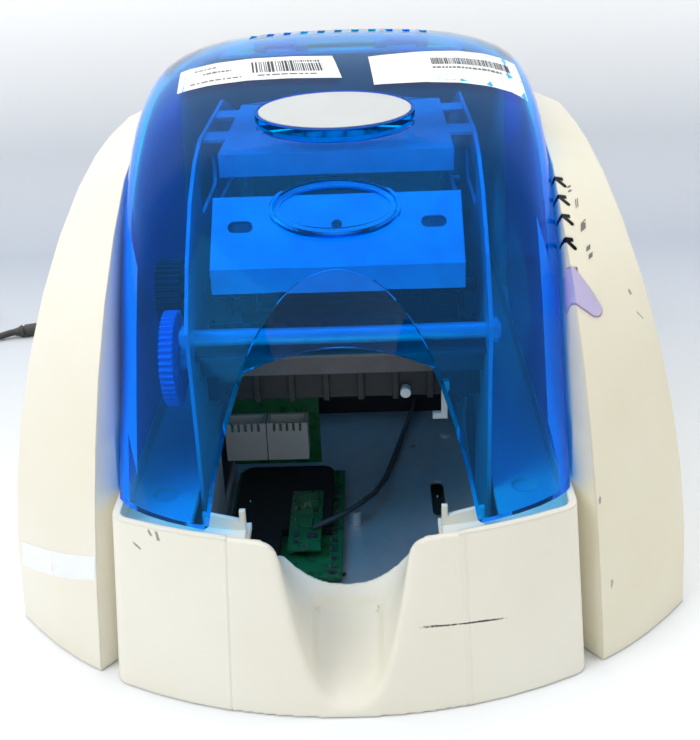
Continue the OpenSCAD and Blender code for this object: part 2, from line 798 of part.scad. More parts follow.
module main_board() {
  color(board_green) block([-50, 40, 30], [50, 170, 31.6]);
  color(black) for (p = [[-20, 90, 26, 26], [22, 70, 18, 10], [20, 120, 14, 14]])
    block([p[0] - p[2] / 2, p[1] - p[3] / 2, 31.6 - eps], [p[0] + p[2] / 2, p[1] + p[3] / 2, 34]);
  color([0.3, 0.3, 0.6]) for (x = [-38, 38], y = [150, 130]) translate([x, y, 31.6 - eps])
    cylinder(h = 16, r = 5);
  color(steel) for (x = [-44, 44], y = [50, 112]) translate([x, y, floor_h]) cylinder(h = 8 + eps, r = 2.5);
}

// Print head on its pivoting bracket

head_x = 46.5;

module head_bracket() {
  color(steel) {
    both_sides() side_extrude(head_x, head_x + sheet) difference() {
      polygon([[-115.5, 146], [-115.5, 152], [-91.1, 172.3], [-86, 168.5], [-40, 166], [8, 158], [12, 152],
        [9, 144], [-30, 148]]);
      translate(pivot_at) circle(pivot_r + run_fit);
      translate([-70, 158]) rounded(36, 9, 4);
    }
    difference() {
      side_extrude(-head_x - sheet, head_x + sheet)
        polygon([[-115.5, 152], [-91.1, 172.3], [-92.1, 173.5], [-117, 152.8], [-117, 143], [-115.5, 143]]);
      head_plate_holes();
    }
    block([-head_x - eps, -76, 150], [head_x + eps, -42, 151.5]);
  }
}

module head_plate_holes() {
  translate([0, -103.1, 162.2]) rotate([39.9, 0, 0]) {
    for (x = [-37, 37]) translate([x, 2, -10]) linear_extrude(30) rounded(9.5, 5, 2.4);
    translate([0, 2, -10]) cylinder(h = 30, r = 2);
  }
}

module print_head() {
  z = card_h + 1.2;
  color(black) block([-31, -70, z], [31, -54, z + 3.4]);
  color(steel) block([-31, -70, z + 3.4 - eps], [31, -62, 150]);
  color(steel) for (i = [0:7]) block([-30 + 8 * i, -62 - eps, z + 7.4], [-28 + 8 * i, -50, 146]);
}

module head_pins() {
  color(steel) both_sides() rod_x(pivot_at[0], pivot_at[1], head_x - 1, plate_out + 1, pivot_r);
}

// Gears, rollers and drive

// Outline of a spur gear with straight flanks; the first tooth points at angle turn
tooth_rise = [-1.15, -0.1, 0.85, 0.85, -0.1, -1.15];
tooth_share = [-0.36, -0.22, -0.11, 0.11, 0.22, 0.36];
function tooth_at(rp, a, pitch, m) = [for (i = [0:5])
  polar(rp + tooth_rise[i] * m, a + pitch * tooth_share[i])];
module gear_2d(teeth, turn) {
  pitch = 360 / teeth;
  polygon([for (i = [0:teeth - 1]) each tooth_at(gear_m * teeth / 2, turn + i * pitch, pitch, gear_m)]);
}

function frac(v) = v - floor(v);
feed_phase = wheel_turn;
wheel_pitch = 360 / wheel_teeth;
wheel_phase = wheel_turn + 180 + wheel_pitch / 2;
spool_pitch = 360 / spool_teeth;
spool_offset = frac((spool_turn - wheel_phase) / wheel_pitch);
spool_phase = spool_turn + 180 + (spool_offset + 0.5) * spool_pitch;
belt_x0 = plate_out + 1.6;
belt_x1 = belt_x0 + 4.5;
gear_x0 = belt_x1 + 1.6;
gear_x1 = gear_x0 + 5.4;
collar_t = 1;
roller_half = 29;
feed_pulley = 6;
platen_pulley = 7.6;
motor_pulley_r = 5;

// Shaft with collars inside the side plates; x1 is its left end and x2 its right end
module shaft(at, x1, x2) {
  rod_x(at[0], at[1], -x1, x2, shaft_r);
  both_sides() rod_x(at[0], at[1], plate_x - 0.3 - collar_t, plate_x - 0.3, shaft_r + 1.5);
}

module roller(at, r, half, x1) {
  color(steel) shaft(at, x1, plate_out + 2);
  color(rubber) rod_x(at[0], at[1], -half, half, r);
}

module pulley(at, r) {
  color(black) {
    rod_x(at[0], at[1], -belt_x1, -belt_x0, r);
    rod_x(at[0], at[1], -belt_x0, -belt_x0 + 0.8, r + 2);
  }
}

module feed_roller() {
  roller(feed_at, feed_r, roller_half, gear_x1 + 1);
  pulley(feed_at, feed_pulley);
  color(white) side_extrude(-gear_x1, -gear_x0) translate(feed_at) gear_2d(feed_teeth, feed_phase);
}

module platen_roller() {
  roller(platen_at, platen_r, roller_half, belt_x1 + 1);
  pulley(platen_at, platen_pulley);
}

module rear_roller() {
  roller(rear_at, feed_r, roller_half, belt_x1 + 1);
  pulley(rear_at, feed_pulley);
}

module pinch_roller() { roller(pinch_at, pinch_r, roller_half, plate_out + 2); }

module cleaning_roller() { roller(clean_at, pinch_r, roller_half, plate_out + 2); }

spool_core = 5.6;
spool_flange = 9.4;

module spindle(at, x1) {
  color(steel) shaft(at, x1, plate_out + 2);
  color(black) {
    rod_x(at[0], at[1], -34, 34, spool_core);
    both_sides() rod_x(at[0], at[1], 34 - eps, 36, spool_flange);
    for (a = [0, 90, 180, 270]) translate([-33, at[0], at[1]]) rotate([a, 0, 0])
      translate([0, -0.8, 0]) cube([66, 1.6, spool_core + 1.2]);
  }
}

module spool_spindle() {
  spindle(spool_at, gear_x1 + 6);
  color(white) side_extrude(-gear_x1 - 5, -gear_x0) difference() {
    translate(spool_at) gear_2d(spool_teeth, spool_phase);
    for (a = [0:60:300]) translate(spool_at + polar(7.6, a)) circle(1.8);
  }
}

module supply_spindle() { spindle(supply_at, plate_out + 2); }

module ribbed_wheel() {
  color([0.25, 0.45, 0.8]) side_extrude(-gear_x1, -gear_x0) difference() {
    translate(wheel_at) gear_2d(wheel_teeth, wheel_phase);
    translate(wheel_at) circle(shaft_r + run_fit);
    for (a = [0:60:300]) translate(wheel_at + polar(10.6, a)) circle(3.4);
  }
}

module wheel_stud() {
  color(steel) {
    rod_x(wheel_at[0], wheel_at[1], -gear_x1 - 1.4, -plate_x, shaft_r);
    rod_x(wheel_at[0], wheel_at[1], -gear_x0 + 0.3, -plate_out, shaft_r + 2);
    rod_x(wheel_at[0], wheel_at[1], -gear_x1 - 1.4, -gear_x1 - 0.3, shaft_r + 1.6);
  }
}

belt_stations = [[feed_at, feed_pulley], [platen_at, platen_pulley], [rear_at, feed_pulley],
  [motor_at, motor_pulley_r]];
belt_fit = 0.1;
belt_t = 1.1;

module belt_outline(grow) { hull() for (s = belt_stations) translate(s[0]) circle(s[1] + grow); }

module drive_belt() {
  color(rubber) side_extrude(-belt_x1, -belt_x0 - 0.2) difference() {
    belt_outline(belt_fit + belt_t);
    belt_outline(belt_fit);
  }
}

motor_r = 17;
motor_len = 32;

module motor() {
  color(steel) {
    rod_x(motor_at[0], motor_at[1], -plate_x, -plate_x + motor_len, motor_r);
    rod_x(motor_at[0], motor_at[1], -plate_out, -plate_x + eps, 4.6);
  }
  x = -plate_x + motor_len;
  color(black) rod_x(motor_at[0], motor_at[1], x - eps, x + 3, motor_r - 4);
}

module motor_pulley() {
  pulley(motor_at, motor_pulley_r);
  color(steel) rod_x(motor_at[0], motor_at[1], -belt_x1 - 1, -plate_out - 0.3, 1.5);
}

// Cover

vent_y = 31;
bezel_t = 1.4;
bezel_high = 1.5;
button_gap = 0.5;

module top_cover() {
  color(clear_blue) as_mesh() difference() {
    union() {
      difference() {
        dome(9, 110, 22, 0, 0.3);
        dome(2, 116, 22, cover_wall, 0.1);
        mouth_cut(0);
      }
      mouth_wall();
      on_dome(bezel_at, -1.5) linear_extrude(1.5 + bezel_high) oval(bezel_w, bezel_h);
      at_badge() translate([0, 0, -6.5]) linear_extrude(6.5) oval(badge_w + 3, badge_h + 3);
    }
    block([-half_w - 1, -300, -50], [half_w + 1, 300, cover_foot]);
    block([-half_w - 1, cover_rear, 0], [half_w + 1, 300, 300]);
    vents();
    on_dome(bezel_at, -8) linear_extrude(20) oval(bezel_w - 2 * bezel_t, bezel_h - 2 * bezel_t);
    at_badge() translate([0, 0, -1]) linear_extrude(10) oval(badge_w + 0.4, badge_h + 0.4);
  }
}

module mouth_cut(grow) {
  translate([0, 0, 40]) linear_extrude(mouth_top - 40)
    polygon(concat(mouth_curve(grow, mouth_wide), [[mouth_wide, -230], [-mouth_wide, -230]]));
}

mouth_top = 176;

// Upright wall behind the upper part of the opening
module mouth_wall() {
  intersection() {
    translate([0, 0, mouth_edge]) linear_extrude(50) difference() {
      polygon(concat(mouth_curve(cover_wall, mouth_half), [[mouth_half, -230], [-mouth_half, -230]]));
      polygon(concat(mouth_curve(0, mouth_wide), [[mouth_wide, -240], [-mouth_wide, -240]]));
    }
    dome(20, 80, 15, 0.2, 0.3);
  }
}

module vents() {
  for (i = [0:vent_count - 1])
    translate([(i - (vent_count - 1) / 2) * vent_pitch, vent_y, dome_z + dome_r - 14])
    linear_extrude(30) rounded(vent_w, vent_len, vent_w / 2 - 0.1);
}

hinge_xs = [-30, 30];
leaf_w = 14;

// Barrels on the cover, each with a leaf under its skin
module cover_hinges() {
  color(clear_blue) difference() {
    for (x = hinge_xs) {
      rod_x(hinge_y, hinge_z, x - leaf_w / 2, x + leaf_w / 2, barrel_r);
      block([x - leaf_w / 2, cover_rear - 9, hinge_z - 1], [x + leaf_w / 2, hinge_y, hinge_z + 1]);
      block([x - leaf_w / 2, cover_rear - 7, hinge_z + 1 - eps],
        [x + leaf_w / 2, cover_rear - 0.4, hinge_z + 1.8]);
    }
    rod_x(hinge_y, hinge_z, -60, 60, pin_r + run_fit);
  }
}

knuckle_w = 6;

module shell_hinges() {
  color(cream) difference() {
    for (x = hinge_xs, s = [-1, 1]) let(c = x + s * (leaf_w / 2 + knuckle_w / 2 + 0.4)) {
      rod_x(hinge_y, hinge_z, c - knuckle_w / 2, c + knuckle_w / 2, barrel_r);
      block([c - knuckle_w / 2, hinge_y, hinge_z - shelf_drop + eps],
        [c + knuckle_w / 2, hinge_y + barrel_r + 1, hinge_z - 1.4]);
    }
    rod_x(hinge_y, hinge_z, -60, 60, pin_r);
  }
}

module hinge_pins() {
  color(steel) for (x = hinge_xs)
    rod_x(hinge_y, hinge_z, x - leaf_w / 2 - knuckle_w - 0.4, x + leaf_w / 2 + knuckle_w + 0.4, pin_r);
}

module at_badge() { translate([0, -badge_y, badge_z]) rotate([badge_slope, 0, 0]) children(); }

module badge() {
  color([0.86, 0.86, 0.85]) at_badge() translate([0, 0, -1]) linear_extrude(1.2) oval(badge_w, badge_h);
}

module release_button() {
  w = bezel_w - 2 * bezel_t - 2 * button_gap;
  h = bezel_h - 2 * bezel_t - 2 * button_gap;
  color(clear_blue) on_dome(bezel_at, -cover_wall) {
    linear_extrude(cover_wall) oval(w, h);
    translate([0, 0, cover_wall - eps]) linear_extrude(0.8) difference() {
      oval(w, h);
      oval(w - 4, h - 4);
    }
  }
}

// Lead that leaves the rear panel; its points are hand chosen

function unit(v) = v / norm(v);
function route_dir(p, i) = unit(p[min(i + 1, len(p) - 1)] - p[max(i - 1, 0)]);
// A ring of the tube: its first side points up as far as the route allows
function tube_ring(p, d, r, sides) =
  let(u = abs(d[2]) > 0.95 ? [0, 1, 0] : [0, 0, 1], a = unit(cross(d, u)), b = cross(a, d))
  [for (k = [0:sides - 1]) let(t = 360 * (k + 0.5) / sides) p + r * (a * cos(t) + b * sin(t))];
module tube(p, r, sides) {
  skin([for (i = [0:len(p) - 1]) tube_ring(p[i], route_dir(p, i), r, sides)]);
}

lead_r = lead_d / 2;
lie_z = lead_r;
plug_y = half_len + 0.4;
// Half depth of the body that the lead's points were chosen for
route_len = 190;
lead_shift = [0, half_len - route_len, 0];
function shifted(pts) = [for (p = pts) p + lead_shift];
run_route = shifted([[-60, 234, 24], [-60, 244, 23.4], [-61, 254, 20], [-64, 263, 13], [-70, 270, 6.5],
  [-79, 275, 3], [-91, 277, 2.25], [-106, 275, 2.25], [-122, 268, 2.25], [-138, 257, 2.25],
  [-152, 243, 2.25], [-165, 228, 2.5], [-177, 213, 3.4], [-187, 202, 4.2], [-196.3, 195.9, 4.2],
  [-202, 194, 4.2]]);
sleeve_route = shifted([[-202, 194, 4.2], [-226, 186, 4.2]]);
end_route = shifted([[-226, 186, 4.2], [-231.7, 184.1, 4.2], [-239, 181.5, 3], [-248, 177.8, 2.25],
  [-258, 173.2, 2.25], [-268, 169.2, 2.25], [-280, 165, 2.25]]);

module lead_run() { color(black) tube(run_route, lead_r, 8); }

module lead_sleeve() {
  d = sleeve_route[1] - sleeve_route[0];
  color(black) translate(sleeve_route[0]) rotate([0, 90, atan2(d[1], d[0])]) {
    difference() {
      cylinder(h = norm(d), r = sleeve_d / 2);
      translate([0, 0, norm(d) - 6]) difference() {
        cylinder(h = 1, r = sleeve_d);
        cylinder(h = 1, r = sleeve_d / 2 - 0.7);
      }
    }
  }
}

module lead_plug() {
  color(black) {
    block([socket_x - 6, plug_y, socket_h - 5.4], [socket_x + 6, plug_y + 30, socket_h + 5.4]);
    translate([socket_x, plug_y + 30 - eps, socket_h]) rotate([-90, 0, 0])
      cylinder(h = run_route[0][1] - plug_y - 30 + eps, r1 = 4.4, r2 = lead_r + 0.8);
  }
  color(steel) block([socket_x - 4.1, half_len - 9, socket_h - 3.8],
    [socket_x + 4.1, plug_y + eps, socket_h + 3.8]);
}

// Coil: in along the lower layer and out along the upper one
coil_at = [-296, 198.5 + lead_shift[1]];
coil_out_r = 36.5;
coil_turns = 4.75;
coil_pitch = 4.95;
coil_steps = 24;
coil_in_r = coil_out_r - coil_pitch * coil_turns;
coil_layer = 4.95;
coil_dip = 0.9;
coil_start = -84;
function coil_point(t) =
  let(down = t < coil_turns, k = down ? t : t - 0.5 - coil_turns,
      climb = ease(coil_turns, coil_turns + 0.5, t),
      r = t < coil_turns ? coil_out_r - coil_pitch * t
        : t < coil_turns + 0.5 ? coil_in_r - coil_dip * sin(360 * (t - coil_turns))
        : coil_in_r + coil_pitch * k,
      a = coil_start - 360 * t)
  [coil_at[0] + r * cos(a), coil_at[1] + r * sin(a), lie_z + coil_layer * climb];
coil_end_t = 2 * coil_turns + 0.5;
coil_route = [for (i = [0:round(coil_end_t * coil_steps)]) coil_point(i / coil_steps)];
tail_route = shifted([[-298.5, 160.8, 7], [-305, 158, 6.2], [-312, 155.4, 5], [-320, 152.9, 4.2],
  [-328, 150.4, 4], [-334, 148.4, 4]]);
least_gap = min([for (i = [0:len(coil_route) - 1]) for (j = [i + 12:len(coil_route) - 1])
  norm(coil_route[i] - coil_route[j])]) - lead_d;
echo(least_gap = least_gap);

module lead_coil() { color(black) tube(concat(end_route, coil_route, tail_route), lead_r, 6); }

tie_a = 20;
tie_t = 0.8;

module lead_tie() {
  r0 = coil_in_r - lead_r - 1.4;
  r1 = coil_out_r + lead_r + 1;
  top = coil_layer + lead_d + 0.5;
  color(rubber) translate([coil_at[0], coil_at[1], 0]) rotate([90, 0, tie_a])
    linear_extrude(5, center = true)
    difference() {
      translate([r0 - tie_t, 0.05]) square([r1 - r0 + 2 * tie_t, top + tie_t]);
      translate([r0, tie_t]) square([r1 - r0, top - tie_t]);
    }
}

far_len = 30;

module far_plug() {
  e = tail_route[len(tail_route) - 1];
  d = e - tail_route[len(tail_route) - 2];
  translate([e[0], e[1], 0]) rotate([0, 0, atan2(d[1], d[0])]) {
    color(black) block([8, -7, 0], [8 + far_len, 7, 8]);
    color(black) translate([0, 0, e[2]]) rotate([0, 90, 0])
      cylinder(h = 8 + eps, r1 = lead_r + 0.6, r2 = 3.8);
    color(steel) block([8 + far_len - eps, -6, 1.7], [8 + far_len + 12, 6, 6.3]);
  }
}

base_shell();
left_wing();
right_wing();
rear_shell();
rear_panel();
bottom_plate();
feet();
floor_plate();
left_side_plate();
right_side_plate();
front_rod();
cross_bar();
top_plate();
rear_divider();
exit_guide();
feeder_board();
foam_pad();
sensor_board();
sensor_cable();
standoffs();
connector_board();
connectors();
sensor_bracket();
head_bracket();
print_head();
head_pins();
feed_roller();
platen_roller();
rear_roller();
pinch_roller();
cleaning_roller();
spool_spindle();
supply_spindle();
ribbed_wheel();
wheel_stud();
drive_belt();
motor();
motor_pulley();
main_board();
top_cover();
cover_hinges();
shell_hinges();
hinge_pins();
badge();
release_button();
control_button();
indicator_lenses();
rocker_switch();
power_inlet();
lead_socket();
lead_plug();
lead_run();
lead_sleeve();
lead_coil();
far_plug();
lead_tie();
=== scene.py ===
# %% [markdown]
# # A card printer with a clear blue lid
# A desktop printer for plastic cards: cream mouldings, a domed lid of tinted clear plastic, a
# sheet metal chassis that shows through it, and a thin lead that lies behind. The solids come from
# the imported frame. This script gives them their finishes and adds what is too thin or too small
# for solid modelling, such as labels, solder parts and scuffs.

# %% Load the frame
import json
import math
import random
import bpy
import bmesh
import numpy
from mathutils import Matrix, Vector
from mathutils.bvhtree import BVHTree


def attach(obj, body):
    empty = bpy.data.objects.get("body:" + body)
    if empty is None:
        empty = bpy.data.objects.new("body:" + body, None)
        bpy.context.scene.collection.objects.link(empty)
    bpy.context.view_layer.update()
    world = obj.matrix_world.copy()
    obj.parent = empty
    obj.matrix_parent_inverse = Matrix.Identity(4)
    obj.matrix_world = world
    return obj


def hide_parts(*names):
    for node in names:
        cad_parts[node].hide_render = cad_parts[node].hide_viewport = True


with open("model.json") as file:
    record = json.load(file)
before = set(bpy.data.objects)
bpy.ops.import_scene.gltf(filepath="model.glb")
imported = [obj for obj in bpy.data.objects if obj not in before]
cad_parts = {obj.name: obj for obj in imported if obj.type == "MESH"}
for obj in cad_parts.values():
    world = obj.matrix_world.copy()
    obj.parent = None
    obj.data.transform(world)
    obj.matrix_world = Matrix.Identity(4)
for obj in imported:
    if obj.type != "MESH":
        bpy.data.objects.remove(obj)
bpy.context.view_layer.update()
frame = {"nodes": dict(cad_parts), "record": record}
nodes = frame["nodes"]
MM = 0.001
ROUND_STEPS = 24
print("nodes in the frame:", len(nodes))

# %% Mesh helper
def plain_mesh(name, points, faces):
    mesh = bpy.data.meshes.new(name)
    mesh.from_pydata(points, [], faces)
    mesh.validate()
    piece = bpy.data.objects.new(name, mesh)
    bpy.context.scene.collection.objects.link(piece)
    return piece


print("points round a turned shape:", ROUND_STEPS)

# %% [markdown]
# The camera comes first, because it tells what the picture shows. A camera looks along its own
# minus Z, so its matrix has the picture's right, its up and the backward direction as columns.
# Three angles are turned into these by hand, which keeps the roll exact where a Track To would
# lose it.

# %% Camera
PITCH, YAW, ROLL = 25.04, -1.66, -2.33
EYE = (15.0, -524.5, 300.5)
FOCAL_PX, PICTURE_HIGH_PX, SENSOR = 1150, 740, 36


def picture_axes(pitch, yaw, roll):
    p, y, r = (math.radians(a) for a in (pitch, yaw, roll))
    ahead = Vector((math.sin(y) * math.cos(p), math.cos(y) * math.cos(p), -math.sin(p)))
    right = Vector((math.cos(y), -math.sin(y), 0))
    up = right.cross(ahead)
    return right * math.cos(r) + up * math.sin(r), up * math.cos(r) - right * math.sin(r), ahead


right, up, ahead = picture_axes(PITCH, YAW, ROLL)
lens = bpy.data.cameras.new("camera")
lens.sensor_width = SENSOR
lens.lens = FOCAL_PX / PICTURE_HIGH_PX * SENSOR
lens.clip_start = 0.01
camera = bpy.data.objects.new("camera", lens)
bpy.context.scene.collection.objects.link(camera)
turn = Matrix((right, up, -ahead)).transposed().to_4x4()
camera.matrix_world = Matrix.Translation(Vector(EYE) * MM) @ turn
bpy.context.scene.camera = camera
bpy.context.scene.view_settings.view_transform = "Standard"
print("camera at", [round(v, 4) for v in camera.location], "lens", round(lens.lens, 2))

# %% [markdown]
# A lead has a fixed length, so its line is settled before its looks. It leaves the plug on the
# rear panel, drops to the table and runs to a moulded sleeve. From there it goes on into a flat
# coil of two layers, tied once. A curve object with a round bevel is the plain way to make it: the
# line stays editable, and its thickness is one number.

# %% Lead: its line
LEAD_R = 2.25
COIL_TURNS = 10
RUN = [(-60, 234, 24), (-60, 244, 23.4), (-61, 254, 20), (-64, 263, 13), (-70, 270, 6.5),
       (-79, 275, 3), (-91, 277, 2.25), (-106, 275, 2.25), (-122, 268, 2.25), (-138, 257, 2.25),
       (-152, 243, 2.25), (-165, 228, 2.5), (-177, 213, 3.4), (-187, 202, 4.2),
       (-196.3, 195.9, 4.2), (-202, 194, 4.2)]
LEAD_END = [(-226, 186, 4.2), (-231.7, 184.1, 4.2), (-239, 181.5, 3), (-248, 177.8, 2.25),
            (-258, 173.2, 2.25), (-268, 169.2, 2.25), (-280, 165, 2.25)]
TAIL = [(-298.5, 160.8, 7), (-305, 158, 6.2), (-312, 155.4, 5), (-320, 152.9, 4.2),
        (-328, 150.4, 4), (-334, 148.4, 4)]


def coil_point(t, centre=(-296, 198.5), outer=36.5, turns=4.75, pitch=4.95, layer=4.95, dip=0.9,
               start=-84):
    """A point t turns along: inward in the lower layer, up, and outward in the upper layer."""
    inner = outer - pitch * turns
    step = min(max((t - turns) / 0.5, 0), 1)
    climb = step * step * (3 - 2 * step)
    r = (outer - pitch * t if t < turns else inner - dip * math.sin(math.pi * step) if step < 1
         else inner + pitch * (t - 0.5 - turns))
    a = math.radians(start - 360 * t)
    return (centre[0] + r * math.cos(a), centre[1] + r * math.sin(a), LEAD_R + layer * climb)


def rounded_line(points, between=4):
    """More points along a smooth line that goes through all the given ones."""
    p = [Vector(q) for q in points]
    p = [2 * p[0] - p[1]] + p + [2 * p[-1] - p[-2]]
    line = []
    for a, b, c, d in zip(p, p[1:], p[2:], p[3:]):
        for k in range(between):
            t = k / between
            line.append(0.5 * (2 * b + (c - a) * t + (2 * a - 5 * b + 4 * c - d) * t ** 2
                               + (3 * b - a - 3 * c + d) * t ** 3))
    return line + [p[-2]]


coil = [coil_point(i / ROUND_STEPS) for i in range(COIL_TURNS * ROUND_STEPS + 1)]
print("coil points:", len(coil))

# %% Lead: curve objects
def lead_piece(name, points):
    curve = bpy.data.curves.new(name, "CURVE")
    curve.dimensions = "3D"
    curve.bevel_depth = LEAD_R * MM
    curve.bevel_resolution = 3
    curve.use_fill_caps = True
    line = curve.splines.new("POLY")
    line.points.add(len(points) - 1)
    for spot, p in zip(line.points, points):
        spot.co = (*(Vector(p) * MM), 1)
    piece = bpy.data.objects.new(name, curve)
    bpy.context.scene.collection.objects.link(piece)
    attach(piece, "printer")
    return piece, sum((Vector(b) - Vector(a)).length for a, b in zip(points, points[1:])) * MM


run_line = rounded_line(RUN)
lead_run, run_length = lead_piece("free_lead", run_line)
coil_line = rounded_line(LEAD_END)[:-1]
coil_line += rounded_line([LEAD_END[-1]] + coil + [TAIL[0]], 2)[:-1]
coil_line += rounded_line(TAIL)
lead_coil, coil_length = lead_piece("coiled_lead", coil_line)
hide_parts("lead_run")
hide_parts("lead_coil")

# %% Lead: its sleeve
SLEEVE = [(0, 0), (0, 3.4), (9, 3.6), (9.4, 5.2), (11.2, 5.2), (11.6, 4.2), (22.4, 4.2),
          (22.8, 3.3), (23.6, 3.3), (24, 4.2), (25, 4.1), (26.8, 3), (29.4, 2.5), (29.4, 0)]
start, end = Vector(RUN[-1]), Vector(LEAD_END[0])
along = (end - start).normalized()
across = along.cross(Vector((0, 0, 1))).normalized()
above = across.cross(along)
points = [(start + along * s + (across * math.cos(a) + above * math.sin(a)) * r) * MM
          for s, r in SLEEVE for a in [2 * math.pi * k / ROUND_STEPS for k in range(ROUND_STEPS)]]
faces = []
for i in range(len(SLEEVE) - 1):
    here, there = ROUND_STEPS * i, ROUND_STEPS * (i + 1)
    for k in range(ROUND_STEPS):
        after = (k + 1) % ROUND_STEPS
        faces.append((here + k, here + after, there + after, there + k))
sleeve = plain_mesh("turned_sleeve", points, faces)
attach(sleeve, "printer")
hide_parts("lead_sleeve")
print("free lead", round(run_length, 3), "m, coil", round(coil_length, 3), "m")

# %% [markdown]
# The stage is a pale floor that turns up into a backdrop, as a photographer's paper does. Its tone
# follows a measure of height and depth, pale underfoot, greyer at the bend and white above; the grey
# at the bend is painted shade. The light is soft: a large lamp at the upper left, weaker ones at the
# right and overhead, and an even sky. Lamps and sky add up to a level at which a colour renders
# about as it is written.

# %% Stage
BEND_Y, BEND_R, BEND_STEPS = 0.34, 0.07, 10
PAPER_REACH, PAPER_HALF = 3.0, 3.5
bend = [math.radians(90 / BEND_STEPS * k) for k in range(BEND_STEPS + 1)]
profile = [(-PAPER_REACH, 0)]
profile += [(BEND_Y + BEND_R * math.sin(a), BEND_R - BEND_R * math.cos(a)) for a in bend]
profile += [(BEND_Y + BEND_R, PAPER_REACH)]
points = [(x, y, z) for y, z in profile for x in (-PAPER_HALF, PAPER_HALF)]
faces = [(2 * k, 2 * k + 1, 2 * k + 3, 2 * k + 2) for k in range(len(profile) - 1)]
paper = plain_mesh("paper_floor", points, faces)
for face in paper.data.polygons:
    face.use_smooth = True

# The grey middle tone at the bend is painted shade on the paper.
PAPER_TONES_AND_SHADE = [(0.0, (0.86, 0.88, 0.90)), (0.053, (0.47, 0.51, 0.58)), (0.25, (1, 1, 1))]
DEPTH_SHARE, TONE_START = 0.12, 0.012
paper_look = bpy.data.materials.new("paper")
paper_look.use_nodes = True
tree = paper_look.node_tree
body = tree.nodes["Principled BSDF"]
body.inputs["Roughness"].default_value = 0.85
place = tree.nodes.new("ShaderNodeTexCoord")
split = tree.nodes.new("ShaderNodeSeparateXYZ")
ramp = tree.nodes.new("ShaderNodeValToRGB")
stops = ramp.color_ramp.elements
stops.new(PAPER_TONES_AND_SHADE[1][0])
for stop, (position, tone) in zip(stops, PAPER_TONES_AND_SHADE):
    stop.position, stop.color = position, (*tone, 1)
tree.links.new(place.outputs["Object"], split.inputs[0])
depth = tree.nodes.new("ShaderNodeMath")
depth.operation, depth.use_clamp = "MULTIPLY_ADD", True
depth.inputs[1].default_value, depth.inputs[2].default_value = DEPTH_SHARE, TONE_START
tree.links.new(split.outputs["Y"], depth.inputs[0])
rise = tree.nodes.new("ShaderNodeMath")
tree.links.new(depth.outputs[0], rise.inputs[0])
tree.links.new(split.outputs["Z"], rise.inputs[1])
tree.links.new(rise.outputs[0], ramp.inputs[0])
tree.links.new(ramp.outputs[0], body.inputs["Base Color"])
paper.data.materials.append(paper_look)
print("stage points:", len(points))

# %% Light
def soft_lamp(name, spot, aim, size, power):
    lamp = bpy.data.lights.new(name, "AREA")
    lamp.shape = "RECTANGLE"
    lamp.size = lamp.size_y = size
    lamp.energy = power
    holder = bpy.data.objects.new(name, lamp)
    bpy.context.scene.collection.objects.link(holder)
    holder.location = spot
    holder.rotation_euler = (Vector(aim) - Vector(spot)).to_track_quat("-Z", "Y").to_euler()
    holder.visible_glossy = False


KEY_WATTS, SIDE_WATTS, TOP_WATTS, SKY_LEVEL = 17.5, 5, 11, 0.58
soft_lamp("key_lamp", (-1.2, -0.9, 1.5), (0, 0, 0.1), 1.0, KEY_WATTS)
soft_lamp("side_lamp", (1.5, -0.4, 0.9), (0, 0, 0.1), 0.8, SIDE_WATTS)
soft_lamp("top_lamp", (0, 0.1, 1.8), (0, 0, 0), 1.2, TOP_WATTS)
sky = bpy.data.worlds.new("sky")
bpy.context.scene.world = sky
sky.use_nodes = True
sky_light = sky.node_tree.nodes["Background"]
sky_light.inputs["Color"].default_value = (0.95, 0.98, 1.0, 1)
sky_light.inputs["Strength"].default_value = SKY_LEVEL

# %% [markdown]
# Finishes share effects: a fine moulded grain, cloudy blotches of ageing, dust that settles on
# what faces up, and single scuff streaks. Each effect is a node group, built once with named
# inputs, so that a material states only its own values. Groups put out colours, masks and heights,
# and the shader itself stays in each material.

# %% Node group helpers
def effect(name, takes, gives):
    tree = bpy.data.node_groups.new(name, "ShaderNodeTree")
    for label, kind, value in takes:
        socket = tree.interface.new_socket(label, in_out="INPUT", socket_type="NodeSocket" + kind)
        if value is not None:
            socket.default_value = value
    for label, kind in gives:
        tree.interface.new_socket(label, in_out="OUTPUT", socket_type="NodeSocket" + kind)
    return tree, tree.nodes.new("NodeGroupInput"), tree.nodes.new("NodeGroupOutput")


def add(tree, kind, links=(), **values):
    """One node: links maps its input to another node's output, values set its own fields."""
    node = tree.nodes.new("ShaderNode" + kind)
    for field, value in values.items():
        setattr(node, field, value)
    for slot, source in dict(links).items():
        if isinstance(source, bpy.types.NodeSocket):
            tree.links.new(source, node.inputs[slot])
        else:
            node.inputs[slot].default_value = source
    return node


def cloud_noise(tree, takes, detail, rough):
    """Noise with blobs as wide as the group's own Size mm."""
    place = add(tree, "TexCoord")
    scale = add(tree, "Math", {0: 1000.0, 1: takes.outputs["Size mm"]}, operation="DIVIDE")
    return add(tree, "TexNoise", {"Vector": place.outputs["Object"], "Scale": scale.outputs[0],
                                  "Detail": detail, "Roughness": rough}).outputs[0]


def share_of(tree, mask, takes):
    """A mask scaled by the group's own Share."""
    return add(tree, "Math", {0: mask, 1: takes.outputs["Share"]}, operation="MULTIPLY",
               use_clamp=True).outputs[0]


def blended(tree, share, below, above):
    """Two colours mixed; a Mix node's colour inputs are its 6th and 7th."""
    mixed = add(tree, "Mix", {0: share, 6: below, 7: above}, data_type="RGBA")
    return mixed.outputs[2]


print("helpers ready")

# %% Effect: moulded grain
grain, takes, gives = effect(
    "moulded grain", [("Size mm", "Float", 0.5), ("Depth", "Float", 1.0)], [("Height", "Float")])
fine = cloud_noise(grain, takes, 3.0, 0.65)
deep = add(grain, "Math", {0: fine, 1: takes.outputs["Depth"]}, operation="MULTIPLY")
grain.links.new(deep.outputs[0], gives.inputs["Height"])
print("grain nodes:", len(grain.nodes))

